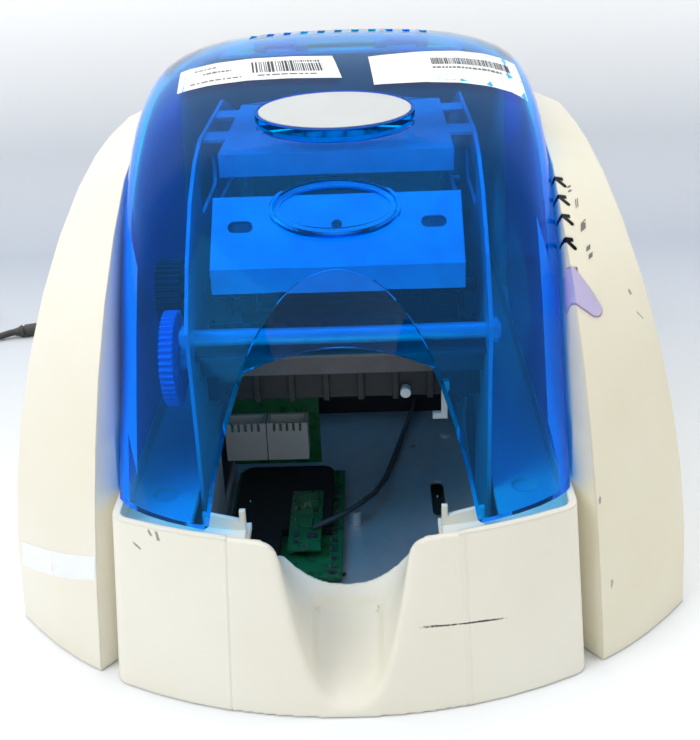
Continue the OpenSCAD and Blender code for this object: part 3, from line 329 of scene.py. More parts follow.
# %% Effect: cloudy ageing
ageing, takes, gives = effect(
    "cloudy ageing", [("Clean", "Color", (0.8, 0.8, 0.8, 1)),
                      ("Aged", "Color", (0.7, 0.65, 0.5, 1)), ("Size mm", "Float", 60.0),
                      ("Share", "Float", 0.5)],
    [("Colour", "Color"), ("Mask", "Float")])
cloud = cloud_noise(ageing, takes, 5.0, 0.55)
wide = add(ageing, "MapRange", {"Value": cloud, "From Min": 0.35, "From Max": 0.65})
part = share_of(ageing, wide.outputs[0], takes)
colour = blended(ageing, part, takes.outputs["Clean"], takes.outputs["Aged"])
ageing.links.new(colour, gives.inputs["Colour"])
ageing.links.new(part, gives.inputs["Mask"])
print("ageing nodes:", len(ageing.nodes))

# %% Effect: specks of grime
specks, takes, gives = effect(
    "grime specks", [("Colour", "Color", None), ("Grime", "Color", (0.2, 0.18, 0.15, 1)),
                     ("Size mm", "Float", 4.0), ("Share", "Float", 0.3)], [("Colour", "Color")])
spots = cloud_noise(specks, takes, 8.0, 0.75)
sharp = add(specks, "MapRange", {"Value": spots, "From Min": 0.66, "From Max": 0.74})
part = share_of(specks, sharp.outputs[0], takes)
colour = blended(specks, part, takes.outputs["Colour"], takes.outputs["Grime"])
specks.links.new(colour, gives.inputs["Colour"])
print("speck nodes:", len(specks.nodes))

# %% Effect: one scuff streak
streak, takes, gives = effect(
    "scuff streak", [("Colour", "Color", None), ("Mark", "Color", (0.05, 0.05, 0.05, 1)),
                     ("Middle mm", "Vector", (0, 0, 0)), ("Along", "Vector", (1, 0, 0)),
                     ("Half length mm", "Float", 10.0), ("Half width mm", "Float", 0.5)],
    [("Colour", "Color")])
place = add(streak, "TexCoord")
in_mm = add(streak, "VectorMath", {0: place.outputs["Object"], 1: (1000, 1000, 1000)},
            operation="MULTIPLY")
off = add(streak, "VectorMath", {0: in_mm.outputs[0], 1: takes.outputs["Middle mm"]},
          operation="SUBTRACT")
along = add(streak, "VectorMath", {0: off.outputs[0], 1: takes.outputs["Along"]},
            operation="DOT_PRODUCT")
spread = add(streak, "VectorMath", {0: takes.outputs["Along"]}, operation="SCALE")
streak.links.new(along.outputs["Value"], spread.inputs["Scale"])
side = add(streak, "VectorMath", {0: off.outputs[0], 1: spread.outputs[0]}, operation="SUBTRACT")
far = add(streak, "VectorMath", {0: side.outputs[0]}, operation="LENGTH")
ragged = add(streak, "TexNoise", {"Vector": place.outputs["Object"], "Scale": 900.0, "Detail": 4.0})
size = add(streak, "Math", {0: far.outputs["Value"], 1: takes.outputs["Half width mm"]},
           operation="DIVIDE")
reach = add(streak, "Math", {0: along.outputs["Value"]}, operation="ABSOLUTE")
reach = add(streak, "Math", {0: reach.outputs[0], 1: takes.outputs["Half length mm"]},
            operation="DIVIDE")
most = add(streak, "Math", {0: size.outputs[0], 1: reach.outputs[0]}, operation="MAXIMUM")
rough = add(streak, "Math", {0: most.outputs[0], 1: ragged.outputs[0]}, operation="ADD")
mask = add(streak, "MapRange", {"Value": rough.outputs[0], "From Min": 1.45, "From Max": 1.1})
colour = blended(streak, mask.outputs[0], takes.outputs["Colour"], takes.outputs["Mark"])
streak.links.new(colour, gives.inputs["Colour"])
print("streak nodes:", len(streak.nodes))

# %% Effect: dust on upward faces
dust, takes, gives = effect(
    "settled dust", [("Colour", "Color", None), ("Dust", "Color", (0.5, 0.48, 0.44, 1)),
                     ("Share", "Float", 0.2), ("Size mm", "Float", 8.0)],
    [("Colour", "Color")])
facing = add(dust, "NewGeometry")
split = add(dust, "SeparateXYZ", {0: facing.outputs["Normal"]})
up_face = add(dust, "MapRange", {"Value": split.outputs["Z"], "From Min": 0.2, "From Max": 0.95})
cloud = cloud_noise(dust, takes, 6.0, 0.7)
both = add(dust, "Math", {0: up_face.outputs[0], 1: cloud}, operation="MULTIPLY")
part = share_of(dust, both.outputs[0], takes)
colour = blended(dust, part, takes.outputs["Colour"], takes.outputs["Dust"])
dust.links.new(colour, gives.inputs["Colour"])
print("dust nodes:", len(dust.nodes))

# %% [markdown]
# Most pieces are moulded plastic, rubber or sheet metal, and differ in a few numbers. One function
# makes such a finish: cloudy colour, specks, dust, a roughness that varies with the clouds, a
# grain that bends the light, and edges that look rounded. What makes a finish special is added
# afterwards.

# %% Finish maker
def use_effect(tree, group, values):
    node = tree.nodes.new("ShaderNodeGroup")
    node.node_tree = group
    for slot, value in values.items():
        if isinstance(value, bpy.types.NodeSocket):
            tree.links.new(value, node.inputs[slot])
        else:
            node.inputs[slot].default_value = value
    return node


def rgb(r, g, b):
    return (r, g, b, 1)


def finish(name, clean, aged, rough=(0.4, 0.55), cloud=60.0, share=0.6, grime=0.2, dusty=0.15,
           grain_mm=0.6, depth=0.02, metallic=0.0, edge_mm=0.5):
    look = bpy.data.materials.new(name)
    look.use_nodes = True
    tree = look.node_tree
    body = tree.nodes["Principled BSDF"]
    body.inputs["Metallic"].default_value = metallic
    aged_colour = use_effect(tree, ageing, {"Clean": rgb(*clean), "Aged": rgb(*aged),
                                            "Size mm": cloud, "Share": share})
    spotted = use_effect(tree, specks, {"Colour": aged_colour.outputs["Colour"], "Share": grime})
    dusted = use_effect(tree, dust, {"Colour": spotted.outputs["Colour"], "Share": dusty})
    tree.links.new(dusted.outputs["Colour"], body.inputs["Base Color"])
    gloss = add(tree, "MapRange", {"Value": aged_colour.outputs["Mask"], "To Min": rough[0],
                                   "To Max": rough[1]})
    tree.links.new(gloss.outputs[0], body.inputs["Roughness"])
    fine = use_effect(tree, grain, {"Size mm": grain_mm, "Depth": 1.0})
    edge = add(tree, "Bevel", {"Radius": edge_mm * MM}, samples=4)
    bump = add(tree, "Bump", {"Height": fine.outputs["Height"], "Strength": 0.5,
                              "Distance": depth * MM, "Normal": edge.outputs[0]})
    tree.links.new(bump.outputs[0], body.inputs["Normal"])
    return look


looks = {}


def keep_finish(name, *values, **more):
    looks[name] = finish(name, *values, **more)


keep_finish("black_plastic", (0.025, 0.025, 0.028), (0.045, 0.045, 0.05), (0.35, 0.5), 20,
            dusty=0.12)
keep_finish("black_rubber", (0.03, 0.03, 0.032), (0.055, 0.053, 0.05), (0.55, 0.75), 12, dusty=0.2,
            grain_mm=0.3)
keep_finish("white_plastic", (0.72, 0.71, 0.66), (0.66, 0.62, 0.52), (0.35, 0.5), 25)
keep_finish("blue_plastic", (0.32, 0.5, 0.8), (0.25, 0.42, 0.7), (0.4, 0.55), 15)
keep_finish("foam", (0.004, 0.006, 0.006), (0.012, 0.014, 0.013), (0.9, 1.0), 3, grime=0.0,
            dusty=0.02, grain_mm=1.2, depth=0.5)
# A plastic far darker than black_plastic: painted shade for the unlit parts inside the mouth.
keep_finish("painted_shade_plastic", (0.008, 0.009, 0.01), (0.014, 0.015, 0.016), (0.5, 0.65), 20,
            grime=0.0, dusty=0.02)
print("plain finishes:", sorted(looks))

# %% [markdown]
# The body is cream plastic, with a few dark streaks where it was knocked. It has yellowed
# unevenly. The right wing has a finish of its own, yellower and darker than the rest: partly
# yellowing, and partly painted shade, for that side faces away from the key lamp. The streaks have
# a place on the moulding: each is a middle, a direction and a size in the object's own frame, and
# stays there from every side.

# %% Cream plastic
def cream_finish(name, clean, aged):
    keep_finish(name, clean, aged, (0.38, 0.52), 90, share=0.75, grime=0.12, dusty=0.05,
                grain_mm=0.7, depth=0.012, edge_mm=1.2)


def streaked(look, marks):
    """Puts streaks between a finish's colour and its shader."""
    tree = look.node_tree
    body = tree.nodes["Principled BSDF"]
    colour = body.inputs["Base Color"].links[0].from_socket
    for middle, along, half_length, half_width, shade in marks:
        mark = use_effect(tree, streak, {
            "Colour": colour, "Mark": rgb(*shade), "Middle mm": middle,
            "Along": Vector(along).normalized(), "Half length mm": half_length,
            "Half width mm": half_width})
        colour = mark.outputs["Colour"]
    tree.links.new(colour, body.inputs["Base Color"])


cream_finish("cream", (0.83, 0.80, 0.70), (0.78, 0.735, 0.60))
# The right wing's cream: yellowed, and darkened with painted shade of the side away from the key lamp.
cream_finish("yellowed_shaded_cream", (0.79, 0.745, 0.60), (0.73, 0.67, 0.49))
GREY, BLACK = (0.3, 0.28, 0.24), (0.05, 0.05, 0.045)
BASE_SCUFFS = [
    ((43.3, -182.6, 37.4), (32.6, 7.4, -2.4), 18, 0.55, BLACK),
    ((-76.1, -170.1, 66), (0.9, -0.3, -0.7), 2.4, 0.6, GREY),
    ((-67.5, -173.4, 72.4), (0.2, 0, -1), 2.2, 0.8, GREY),
    ((-70.4, -172.3, 73), (0.6, 0, -1), 1.6, 0.7, GREY)]
WING_SCUFFS = [
    ((113.3, -103.9, 134.1), (0.3, 0, -1), 1.4, 0.9, GREY),
    ((117.2, -106.7, 125.4), (1, 0.2, -1), 2.6, 0.4, GREY),
    ((101.8, -155.5, 34), (0, 0, 1), 2, 1, GREY),
    ((95.9, -153.9, 70.6), (0.2, 0, 1), 3, 0.7, GREY)]
streaked(looks["cream"], BASE_SCUFFS)
streaked(looks["yellowed_shaded_cream"], WING_SCUFFS)
print("cream is ready")

# %% [markdown]
# The lid is clear plastic, tinted a strong blue. Real tinted plastic colours what is seen through
# it and the light that falls through it. The Principled shader with full transmission does the
# first. For lamps, a Transparent shader takes over on shadow rays, so light reaches the chassis
# tinted instead of being blocked. The lid's inner side faces get a second finish that lets little
# through, a diffuse deep blue: painted light, standing in for the wing walls behind them as they
# look lit blue through the lid.

# %% Clear tinted plastic
def clear_finish(name, tint, rough=0.03, ior=1.22, clear=1.0):
    look = bpy.data.materials.new(name)
    look.use_nodes = True
    tree = look.node_tree
    body = tree.nodes["Principled BSDF"]
    body.inputs["Base Color"].default_value = rgb(*tint)
    body.inputs["Roughness"].default_value = rough
    body.inputs["IOR"].default_value = ior
    body.inputs["Transmission Weight"].default_value = clear
    thin = add(tree, "BsdfTransparent", {"Color": rgb(*(math.sqrt(c) for c in tint))})
    path = add(tree, "LightPath")
    mix = add(tree, "MixShader", {0: path.outputs["Is Shadow Ray"], 1: body.outputs[0],
                                  2: thin.outputs[0]})
    tree.links.new(mix.outputs[0], tree.nodes["Material Output"].inputs["Surface"])
    looks[name] = look


clear_finish("clear_blue", (0.0, 0.44, 1.0), clear=0.97)
# The lid's inner sides: a nearly opaque blue, painted light that stands in for the wing walls behind,
# lit blue through the lid.
clear_finish("painted_lit_blue", (0.0, 0.42, 1.0), clear=0.15)
clear_finish("lilac_plastic", (0.62, 0.56, 0.78), 0.12, 1.45, 0.3)
clear_finish("smoked_plastic", (0.16, 0.15, 0.2), 0.08)
print("finishes so far:", len(looks))

# %% [markdown]
# Sheet metal of the chassis is galvanised: a grey metal with small clouds of lighter and darker
# zinc. The badge plate is satin lacquer, closer to a paint with flakes than to bare metal.

# %% Sheet metal and lacquer
keep_finish("steel", (0.68, 0.69, 0.70), (0.60, 0.61, 0.63), (0.42, 0.55), 9, share=0.8, grime=0.0,
            dusty=0.1, grain_mm=0.25, depth=0.01, metallic=0.6)
keep_finish("dark_steel", (0.06, 0.06, 0.065), (0.09, 0.09, 0.095), (0.4, 0.5), 9, metallic=0.4)
keep_finish("silver_plate", (0.60, 0.62, 0.62), (0.54, 0.56, 0.57), (0.3, 0.38), 30, grain_mm=0.15,
            depth=0.01, metallic=0.35)
keep_finish("board", (0.008, 0.11, 0.035), (0.014, 0.19, 0.06), (0.25, 0.4), 5, share=0.8,
            grime=0.2, dusty=0.03)
print("finishes:", len(looks))

# %% Dress the carried-over nodes
slot_of = {row["node"]: row["material_slot"] for row in frame["record"]["subparts"]}
bodies = frame["record"]["behaviour"]["bodies"]
body_of = {name: body for body, names in bodies.items() for name in names}
# The exit guide, rear divider and print head take the near-black plastic of painted shade.
own_look = {"cross_bar": "dark_steel", "exit_guide": "painted_shade_plastic",
            # The right wing takes the yellowed cream with painted shade.
            "rear_divider": "painted_shade_plastic", "right_wing": "yellowed_shaded_cream",
            "print_head": "painted_shade_plastic"}
for name, node in nodes.items():
    node.data.materials.clear()
    node.data.materials.append(looks[own_look.get(name, slot_of[name])])
for piece in (lead_run, lead_coil, sleeve):
    piece.data.materials.append(looks["black_rubber"])
print("dressed nodes:", len(nodes))

# %% [markdown]
# The solids came with flat facets, and a clear lid shows those as a cut gem does. Each curved
# moulding gets a twin with the same points but smooth faces, and only its sharper edges stay
# crisp. A finer solid would also be smooth, but costs many more faces in the checks.

# %% Smooth twins
CRISP_DEG, MERGE_M = 30, 1e-6
SIDE_X, SIDE_FACING = 72, 0.75


def smooth_twin(name):
    node = nodes[name]
    mesh = node.data.copy()
    mesh.name = name + "_smooth"
    work = bmesh.new()
    work.from_mesh(mesh)
    bmesh.ops.remove_doubles(work, verts=work.verts, dist=MERGE_M)
    work.to_mesh(mesh)
    work.free()
    if "custom_normal" in mesh.attributes:
        mesh.attributes.remove(mesh.attributes["custom_normal"])
    for face in mesh.polygons:
        face.use_smooth = True
    mesh.set_sharp_from_angle(angle=math.radians(CRISP_DEG))
    twin = bpy.data.objects.new(mesh.name, mesh)
    bpy.context.scene.collection.objects.link(twin)
    twin.matrix_world = node.matrix_world.copy()
    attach(twin, body_of[name])
    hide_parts(name)
    return twin


CURVED = ["top_cover", "base_shell", "left_wing", "right_wing", "rear_shell", "rear_panel", "badge",
          "release_button", "control_button", "indicator_lenses", "sensor_cable"]
twins = {name: smooth_twin(name) for name in CURVED}
lid = twins["top_cover"].data
lid.materials.append(looks["painted_lit_blue"])
# The lid's inner side faces take the painted light blue.
for face in lid.polygons:
    inward = face.normal.x * face.center.x < 0
    at_side = abs(face.center.x) > SIDE_X * MM and abs(face.normal.x) > SIDE_FACING
    face.material_index = 1 if inward and at_side else 0
print("smooth twins:", len(twins))

# %% [markdown]
# The front has a channel for a finger, pressed in with soft edges, and a shallow pad for the
# fingertip. Bevels can't run round such a mix of curves. A field can: every point of a grid gets
# its distance to the front face, the top and the channel, and blending two distances rounds the
# edge where they meet. The surface lies where the field is zero, and one point in each grid cell
# that it crosses makes a mesh.

# %% Front with its channel: a field of distances
RIM, FRONT_R, LEAN, WALL = 75.0, 190.0, 4.0, 3.0
END_LOW, END_HIGH, END_OVERLAP = 45.3, 41.8, 1.5
TUCK, TUCK_WIDE = 0.03, 0.6
EDGE_ROUND, RIM_ROUND = 2.8, 8.0
FLOOR_FRONT_Y, FLOOR_DEEP, FLOOR_TOP = 190, 35, 76
PAD_HALF, PAD_SIDE, PAD_BACK_Y, PAD_BACK = 13.4, 1.9, 158.8, 0.9
PAD_CORNER_Y, PAD_CORNER, PAD_FOOT_Y, PAD_FADE = 163.5, 5, 186, 10
PAD_DEEP, PAD_FLATTER = 1.4, 0.5
SLOPE_STEP = 0.2
SILL_Y, CHUTE_WALL, CHUTE_BACK, CHUTE_FRONT, CHUTE_DEEP = -155.0, 2.4, 50, 68, 29
UNDERSIDE = 0.6


def blend_max(a, b, r):
    """The larger of two distances, rounded over r where they meet."""
    near = numpy.maximum(r - numpy.abs(a - b), 0)
    return numpy.maximum(a, b) + near * near / (4 * r)


def channel_floor(x, y):
    """Height of the channel: a valley that gets wider, higher and rounder toward the back."""
    t = numpy.clip((y + FLOOR_FRONT_Y) / FLOOR_DEEP, 0, 1)
    foot, half, power = 5 + 31.8 * t ** 1.35, 23.85 + 14.65 * t ** 2.3, 3.1 - 0.8 * t
    return foot + (FLOOR_TOP - foot) * (numpy.abs(x) / half) ** power


def pad_share(x, y):
    """1 on the fingertip pad and 0 off it, with round back corners and a fade at its foot."""
    corner = numpy.maximum(y + PAD_CORNER_Y, 0) ** 2 / PAD_CORNER
    side = numpy.clip((PAD_HALF - numpy.abs(x) - corner) / PAD_SIDE, 0, 1)
    back = numpy.clip((-PAD_BACK_Y - y) / PAD_BACK, 0, 1)
    low = numpy.clip((y + PAD_FOOT_Y) / PAD_FADE, 0, 1)
    return side * back * low


def front_field(x, y, z):
    """Below 0 in the front wall and in the chute under the channel, above 0 outside them."""
    reach = numpy.sqrt(x * x + y * y)
    past_end = numpy.abs(x) - (END_LOW + (END_HIGH - END_LOW) * z / RIM)
    tuck = TUCK * numpy.clip(past_end / TUCK_WIDE + 0.5, 0, 1)
    face = reach - (FRONT_R - LEAN * z / RIM) + tuck
    floor = channel_floor(x, y)
    d = SLOPE_STEP
    slope_x = (channel_floor(x + d, y) - channel_floor(x - d, y)) / (2 * d)
    slope_y = (channel_floor(x, y + d) - channel_floor(x, y - d)) / (2 * d)
    pad = pad_share(x, y) * (PAD_DEEP + PAD_FLATTER * (floor - channel_floor(0, y)))
    cut = (z - floor + pad) / numpy.sqrt(1 + slope_x ** 2 + slope_y ** 2)
    skin = blend_max(face, cut, EDGE_ROUND)
    rim = blend_max(z - RIM + tuck, cut, RIM_ROUND)
    wall = numpy.maximum.reduce([skin, rim, -face - WALL, UNDERSIDE - z])
    low_side = z - (CHUTE_BACK + (CHUTE_FRONT - CHUTE_BACK) * (SILL_Y - y) / CHUTE_DEEP)
    chute = numpy.maximum.reduce([skin, -cut - CHUTE_WALL, low_side, y - SILL_Y, UNDERSIDE - z])
    return numpy.maximum(numpy.minimum(wall, chute), past_end - END_OVERLAP)


print("rim height:", RIM, "mm, channel depth:", FLOOR_DEEP, "mm")

# %% Front with its channel: field to mesh
def net_of(field, low, step):
    """One point per grid cell that the zero surface crosses, and one face per crossed grid edge."""
    inside = field < 0
    cells = tuple(n - 1 for n in field.shape)
    total, count = numpy.zeros(cells + (3,)), numpy.zeros(cells)
    crossings = []
    for axis in range(3):
        others = [k for k in range(3) if k != axis]
        a = numpy.take(field, range(field.shape[axis] - 1), axis)
        b = numpy.take(field, range(1, field.shape[axis]), axis)
        crossed = (a < 0) != (b < 0)
        share = numpy.where(crossed, a / numpy.where(crossed, a - b, 1), 0)
        crossings.append(crossed)
        for i in (0, 1):
            for j in (0, 1):
                cut = [slice(None)] * 3
                cut[others[0]] = slice(i, i + cells[others[0]])
                cut[others[1]] = slice(j, j + cells[others[1]])
                hit = crossed[tuple(cut)]
                count += hit
                total[..., axis] += numpy.where(hit, share[tuple(cut)], 0)
                total[..., others[0]] += hit * i
                total[..., others[1]] += hit * j
    used = count > 0
    number = numpy.full(cells, -1)
    number[used] = numpy.arange(used.sum())
    spots = (numpy.argwhere(used) + total[used] / count[used][:, None]) * step + numpy.array(low)
    faces = []
    for axis, crossed in enumerate(crossings):
        u, v = [(1, 2), (2, 0), (0, 1)][axis]
        for at in numpy.argwhere(crossed):
            if at[u] == 0 or at[v] == 0 or at[u] >= cells[u] or at[v] >= cells[v]:
                continue
            ring = []
            for du, dv in ((1, 1), (0, 1), (0, 0), (1, 0)):
                cell = at.copy()
                cell[u] -= du
                cell[v] -= dv
                ring.append(int(number[tuple(cell)]))
            faces.append(ring if inside[tuple(at)] else ring[::-1])
    return spots, faces


GRID_STEP, GRID_LOW, GRID_POINTS = 0.8, (-48.0, -192.8, -1.0), (121, 54, 98)
lines = [numpy.arange(n) * GRID_STEP + start for n, start in zip(GRID_POINTS, GRID_LOW)]
field = front_field(*numpy.meshgrid(*lines, indexing="ij"))
spots, faces = net_of(field, GRID_LOW, GRID_STEP)
print("front:", len(spots), "points,", len(faces), "faces")

# %% Front with its channel: set into the base
CUT_UNDER, CUT_OVER, CUT_FRONT_Y, CUT_OVERLAP = 5, 10, -210, 0.3
CHUTE_X, CHUTE_CUT_Y, WALL_CUT_Y = 34.9, -150, -177.5
BASE_CRISP_DEG = 52


def cutter(x_low, x_high, back_y):
    """A box from before the front to a depth; its faces point outward, its sides may lean."""
    corners = [(side * x, y, z) for z, x in ((-CUT_UNDER, x_low), (RIM + CUT_OVER, x_high))
               for y in (CUT_FRONT_Y, back_y) for side in (-1, 1)]
    sides = [(0, 2, 3, 1), (4, 5, 7, 6), (0, 1, 5, 4), (2, 6, 7, 3), (0, 4, 6, 2), (1, 3, 7, 5)]
    return plain_mesh("cutter", [Vector(c) * MM for c in corners], sides)


base = twins["base_shell"]
slope = (END_HIGH - END_LOW) / RIM
low_x = END_LOW - CUT_UNDER * slope - CUT_OVERLAP
high_x = END_HIGH + CUT_OVER * slope - CUT_OVERLAP
boxes = [cutter(CHUTE_X, CHUTE_X, CHUTE_CUT_Y), cutter(low_x, high_x, WALL_CUT_Y)]
for box in boxes:
    cut = base.modifiers.new("cut", "BOOLEAN")
    cut.operation, cut.solver, cut.object = "DIFFERENCE", "EXACT", box
graph = bpy.context.evaluated_depsgraph_get()
trimmed = bpy.data.meshes.new_from_object(base.evaluated_get(graph))
base.modifiers.clear()
for box in boxes:
    bpy.data.objects.remove(box)
work = bmesh.new()
work.from_mesh(trimmed)
corners = [work.verts.new(Vector(spot) * MM) for spot in spots]
for face in faces:
    work.faces.new([corners[k] for k in face])
work.to_mesh(trimmed)
work.free()
for face in trimmed.polygons:
    face.use_smooth = True
    face.material_index = 0
trimmed.set_sharp_from_angle(angle=math.radians(BASE_CRISP_DEG))
base.data = trimmed
print("base:", len(trimmed.vertices), "points")

# %% [markdown]
# Labels and marks are too thin for solids. Each is a grid of points that drops onto the surface
# under it, so that it follows the curve, and floats a hair above it. Bars and dashes stand for
# print, with no words. They are laid in the label's own frame: across from 0 to 1, and up from 0
# to 1.

# %% Laying thin pieces on a surface
def thin_finish(name, colour, rough):
    keep_finish(name, colour, tuple(0.93 * c for c in colour), (rough, rough + 0.1), 12, share=0.5,
                grime=0.0, dusty=0.03, grain_mm=0.2, depth=0.004, edge_mm=0.05)


thin_finish("paper_label", (0.86, 0.87, 0.88), 0.5)
thin_finish("ink", (0.03, 0.03, 0.035), 0.5)
thin_finish("tape", (0.84, 0.86, 0.90), 0.25)
thin_finish("grey_print", (0.17, 0.165, 0.15), 0.5)


def ground(name):
    return BVHTree.FromObject(twins[name], bpy.context.evaluated_depsgraph_get())


def between(corners, u, v):
    """A place in a four-cornered frame: front left, front right, back left, back right."""
    fl, fr, bl, br = (Vector(c) for c in corners)
    return (fl * (1 - u) + fr * u) * (1 - v) + (bl * (1 - u) + br * u) * v


def laid_grid(tree, toward, lift, rows):
    """Rows of start points in mm, dropped along toward onto the surface and lifted off it."""
    toward = Vector(toward).normalized()
    landed = []
    for row in rows:
        for p in row:
            spot, normal, _, _ = tree.ray_cast(Vector(p) * MM, toward)
            if spot is None:
                raise ValueError("no surface under %s" % [round(c, 1) for c in p])
            if normal.dot(toward) > 0:
                normal = -normal
            landed.append(spot + normal * lift * MM)
    wide = len(rows[0])
    faces = [(r * wide + c, r * wide + c + 1, (r + 1) * wide + c + 1, (r + 1) * wide + c)
             for r in range(len(rows) - 1) for c in range(wide - 1)]
    return landed, faces


def laid(name, on, look, toward, patches, lift=0.12):
    """One object of several patches; a patch has four corners, a box in them, and its steps."""
    tree = ground(on)
    points, faces = [], []
    for corners, (u0, u1, v0, v1), nu, nv in patches:
        rows = [[between(corners, u0 + (u1 - u0) * i / nu, v0 + (v1 - v0) * j / nv)
                 for i in range(nu + 1)] for j in range(nv + 1)]
        landed, quads = laid_grid(tree, toward, lift, rows)
        faces += [tuple(len(points) + k for k in quad) for quad in quads]
        points += landed
    piece = plain_mesh(name, points, faces)
    for face in piece.data.polygons:
        face.use_smooth = True
    piece.data.materials.append(looks[look])
    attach(piece, body_of[on])
    return piece


# %% Labels on the lid
HIGH, PRINT_LIFT = 260, 0.2
LEFT_LABEL = [(-66, -44.5, HIGH), (2.8, -49.6, HIGH), (-67.3, -21.7, HIGH), (-1.6, -27.7, HIGH)]
RIGHT_LABEL = [(15.8, -55.4, HIGH), (79, -47, HIGH), (13.6, -30, HIGH), (77.5, -10.5, HIGH)]
WHOLE = (0, 1, 0, 1)
DOWN = (0, 0, -1)
laid("cover_labels", "top_cover", "paper_label", DOWN,
     [(LEFT_LABEL, WHOLE, 16, 6), (RIGHT_LABEL, WHOLE, 18, 6)])
chance = random.Random(5)


def bar_code(corners, u0, u1, v0, v1, step):
    """Patches for upright bars of seeded widths, from u0 to u1 across a label."""
    bars, u = [], u0
    while u < u1:
        width = step * chance.choice((0.35, 0.35, 0.7, 1.0))
        bars.append((corners, (u, min(u + width, u1), v0, v1), 1, 2))
        u += width + step * chance.choice((0.4, 0.4, 0.75))
    return bars


def dashes(corners, u0, u1, v, high, step):
    """Patches for one row of dashes of seeded lengths."""
    marks, u = [], u0
    while u < u1:
        width = step * chance.uniform(0.5, 1.6)
        marks.append((corners, (u, min(u + width, u1), v, v + high), 1, 1))
        u += width + step * 0.35
    return marks


laid("label_bars", "top_cover", "ink", DOWN,
     bar_code(LEFT_LABEL, 0.47, 0.91, 0.3, 0.78, 0.016)
     + bar_code(RIGHT_LABEL, 0.40, 0.93, 0.52, 0.74, 0.009), lift=PRINT_LIFT)
laid("label_dashes", "top_cover", "grey_print", DOWN,
     dashes(LEFT_LABEL, 0.10, 0.24, 0.72, 0.06, 0.02)
     + dashes(LEFT_LABEL, 0.16, 0.34, 0.48, 0.06, 0.02)
     + dashes(LEFT_LABEL, 0.08, 0.40, 0.16, 0.05, 0.03)
     + dashes(LEFT_LABEL, 0.50, 0.86, 0.16, 0.05, 0.03)
     + dashes(RIGHT_LABEL, 0.40, 0.86, 0.40, 0.05, 0.02), lift=PRINT_LIFT)
print("labels laid")

# %% Tape and marks on the wings
BACK = (0, 1, 0)
BEFORE_WING_Y = -160
TAPE = [(-137.2, -200, 27.5), (-97.3, -200, 42.9), (-134.6, -200, 39.9), (-96.1, -200, 53.2)]
laid("wing_tape", "left_wing", "tape", BACK, [(TAPE, WHOLE, 12, 4)], lift=0.08)


def small_mark(x, z, wide, high, lean):
    """Four corners of a mark on the right wing's crest, as seen from the front."""
    left, right, low, top = x - wide / 2, x + wide / 2, z - high / 2, z + high / 2
    return [(left, BEFORE_WING_Y, low), (right, BEFORE_WING_Y, low + lean),
            (left + lean, BEFORE_WING_Y, top), (right + lean, BEFORE_WING_Y, top + lean)]


CREST_MARKS = [(92.4, 169.1, 1.6, 0.45, 0), (92.4, 168.0, 1.6, 0.45, 0),
               (93.8, 164.3, 0.5, 2.0, 0.4), (94.7, 164.3, 0.5, 2.0, 0.4), (95.2, 158.4, 2.4, 2.4, 0.5),
               (96.3, 151.9, 1.9, 1.3, 0.3), (96.9, 149.6, 1.9, 1.3, 0.3)]
laid("crest_marks", "right_wing", "grey_print", BACK,
     [(small_mark(*mark), WHOLE, 2, 2) for mark in CREST_MARKS])
print("tape and marks laid")

# %% [markdown]
# The circuit boards carry parts of a millimetre or two. They are small boxes at listed places,
# some of seeded length, plus ring pads round the holes.

# %% Parts on the boards
def box_parts(name, boxes, look):
    work = bmesh.new()
    for x, y, z, w, d, h in boxes:
        made = bmesh.ops.create_cube(work, size=1)
        bmesh.ops.scale(work, vec=Vector((w, d, h)) * MM, verts=made["verts"])
        bmesh.ops.translate(work, vec=Vector((x, y, z + h / 2)) * MM, verts=made["verts"])
    mesh = bpy.data.meshes.new(name)
    work.to_mesh(mesh)
    work.free()
    mesh.materials.append(looks[look])
    piece = bpy.data.objects.new(name, mesh)
    bpy.context.scene.collection.objects.link(piece)
    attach(piece, "printer")
    return piece


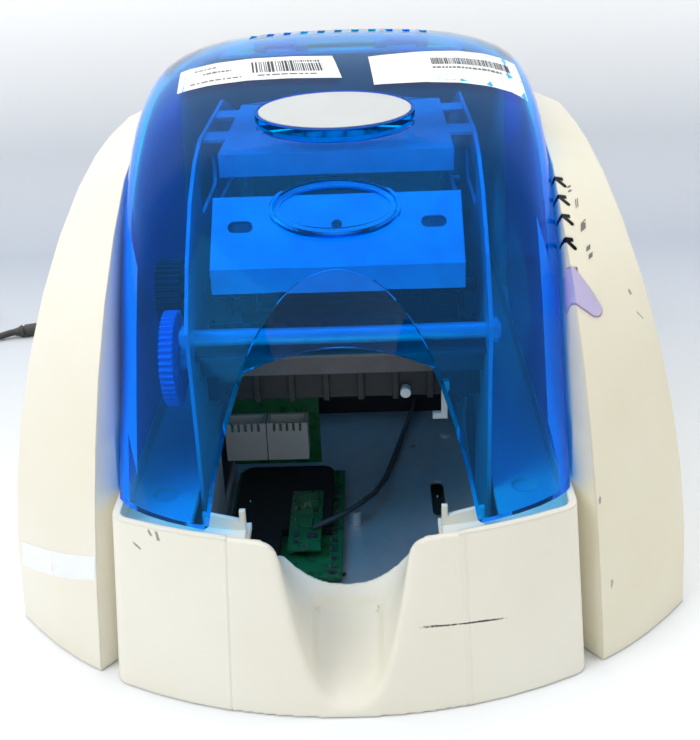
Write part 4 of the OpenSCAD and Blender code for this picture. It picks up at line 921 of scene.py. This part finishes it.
def ring_pads(name, rings, look):
    points, faces = [], []
    for x, y, z, inner, outer in rings:
        first = len(points)
        for k in range(ROUND_STEPS):
            a = 2 * math.pi * k / ROUND_STEPS
            points += [Vector((x + r * math.cos(a), y + r * math.sin(a), z)) * MM
                       for r in (inner, outer)]
            here, after = 2 * k, 2 * (k + 1) % (2 * ROUND_STEPS)
            faces.append((first + here, first + here + 1, first + after + 1, first + after))
    piece = plain_mesh(name, points, faces)
    piece.data.materials.append(looks[look])
    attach(piece, "printer")
    return piece


keep_finish("solder", (0.62, 0.6, 0.5), (0.5, 0.47, 0.36), (0.3, 0.4), 2, metallic=0.9, grime=0.0,
            edge_mm=0.05)
BOARD_TOP, FEEDER_TOP, PAD_LIFT = 30.4, 25.2, 0.05
PART_PITCH = 6.5
box_parts("chips", [(-22.4, -90, BOARD_TOP, 2.4, 1.6, 0.8), (-18.6, -90, BOARD_TOP, 2.4, 1.6, 0.8),
                    (-15, -92, BOARD_TOP, 1.6, 3, 0.8), (-22.4, -111, BOARD_TOP, 1.8, 3.4, 0.9),
                    (-16, -112, BOARD_TOP, 4, 3, 1), (-22.4, -116.5, BOARD_TOP, 2, 1.4, 0.7)]
          + [(-6.5, -128 + PART_PITCH * k, FEEDER_TOP, 2.2, 1.2 + chance.random() * 2, 0.9)
             for k in range(10)]
          + [(-33 - 5 * k, -131.5, FEEDER_TOP, 2.6, 1.4, 0.9) for k in range(4)],
          "black_plastic")
box_parts("chip_ends", [(x, y, BOARD_TOP, 0.6, 1.7, 0.85)
                        for x in (-23.8, -21, -20, -17.2) for y in (-90, -99.5)]
          + [(-8.2, -126 + PART_PITCH * k, FEEDER_TOP, 0.5, 1.4, 0.95) for k in range(9)],
          "solder")
ring_pads("pads", [(-19, -119.5, BOARD_TOP + PAD_LIFT, 0.8, 1.7),
                   (-19, -86.5, BOARD_TOP + PAD_LIFT, 0.8, 1.6)]
          + [(x, y, FEEDER_TOP + PAD_LIFT, inner, outer) for x, y, inner, outer in
             ((-7, -131, 1.8, 3), (-49, -131, 1.8, 3),
              (-5.6, -84, 0.5, 1.1), (-5.6, -72, 0.5, 1.1))],
          "solder")
print("board parts ready")
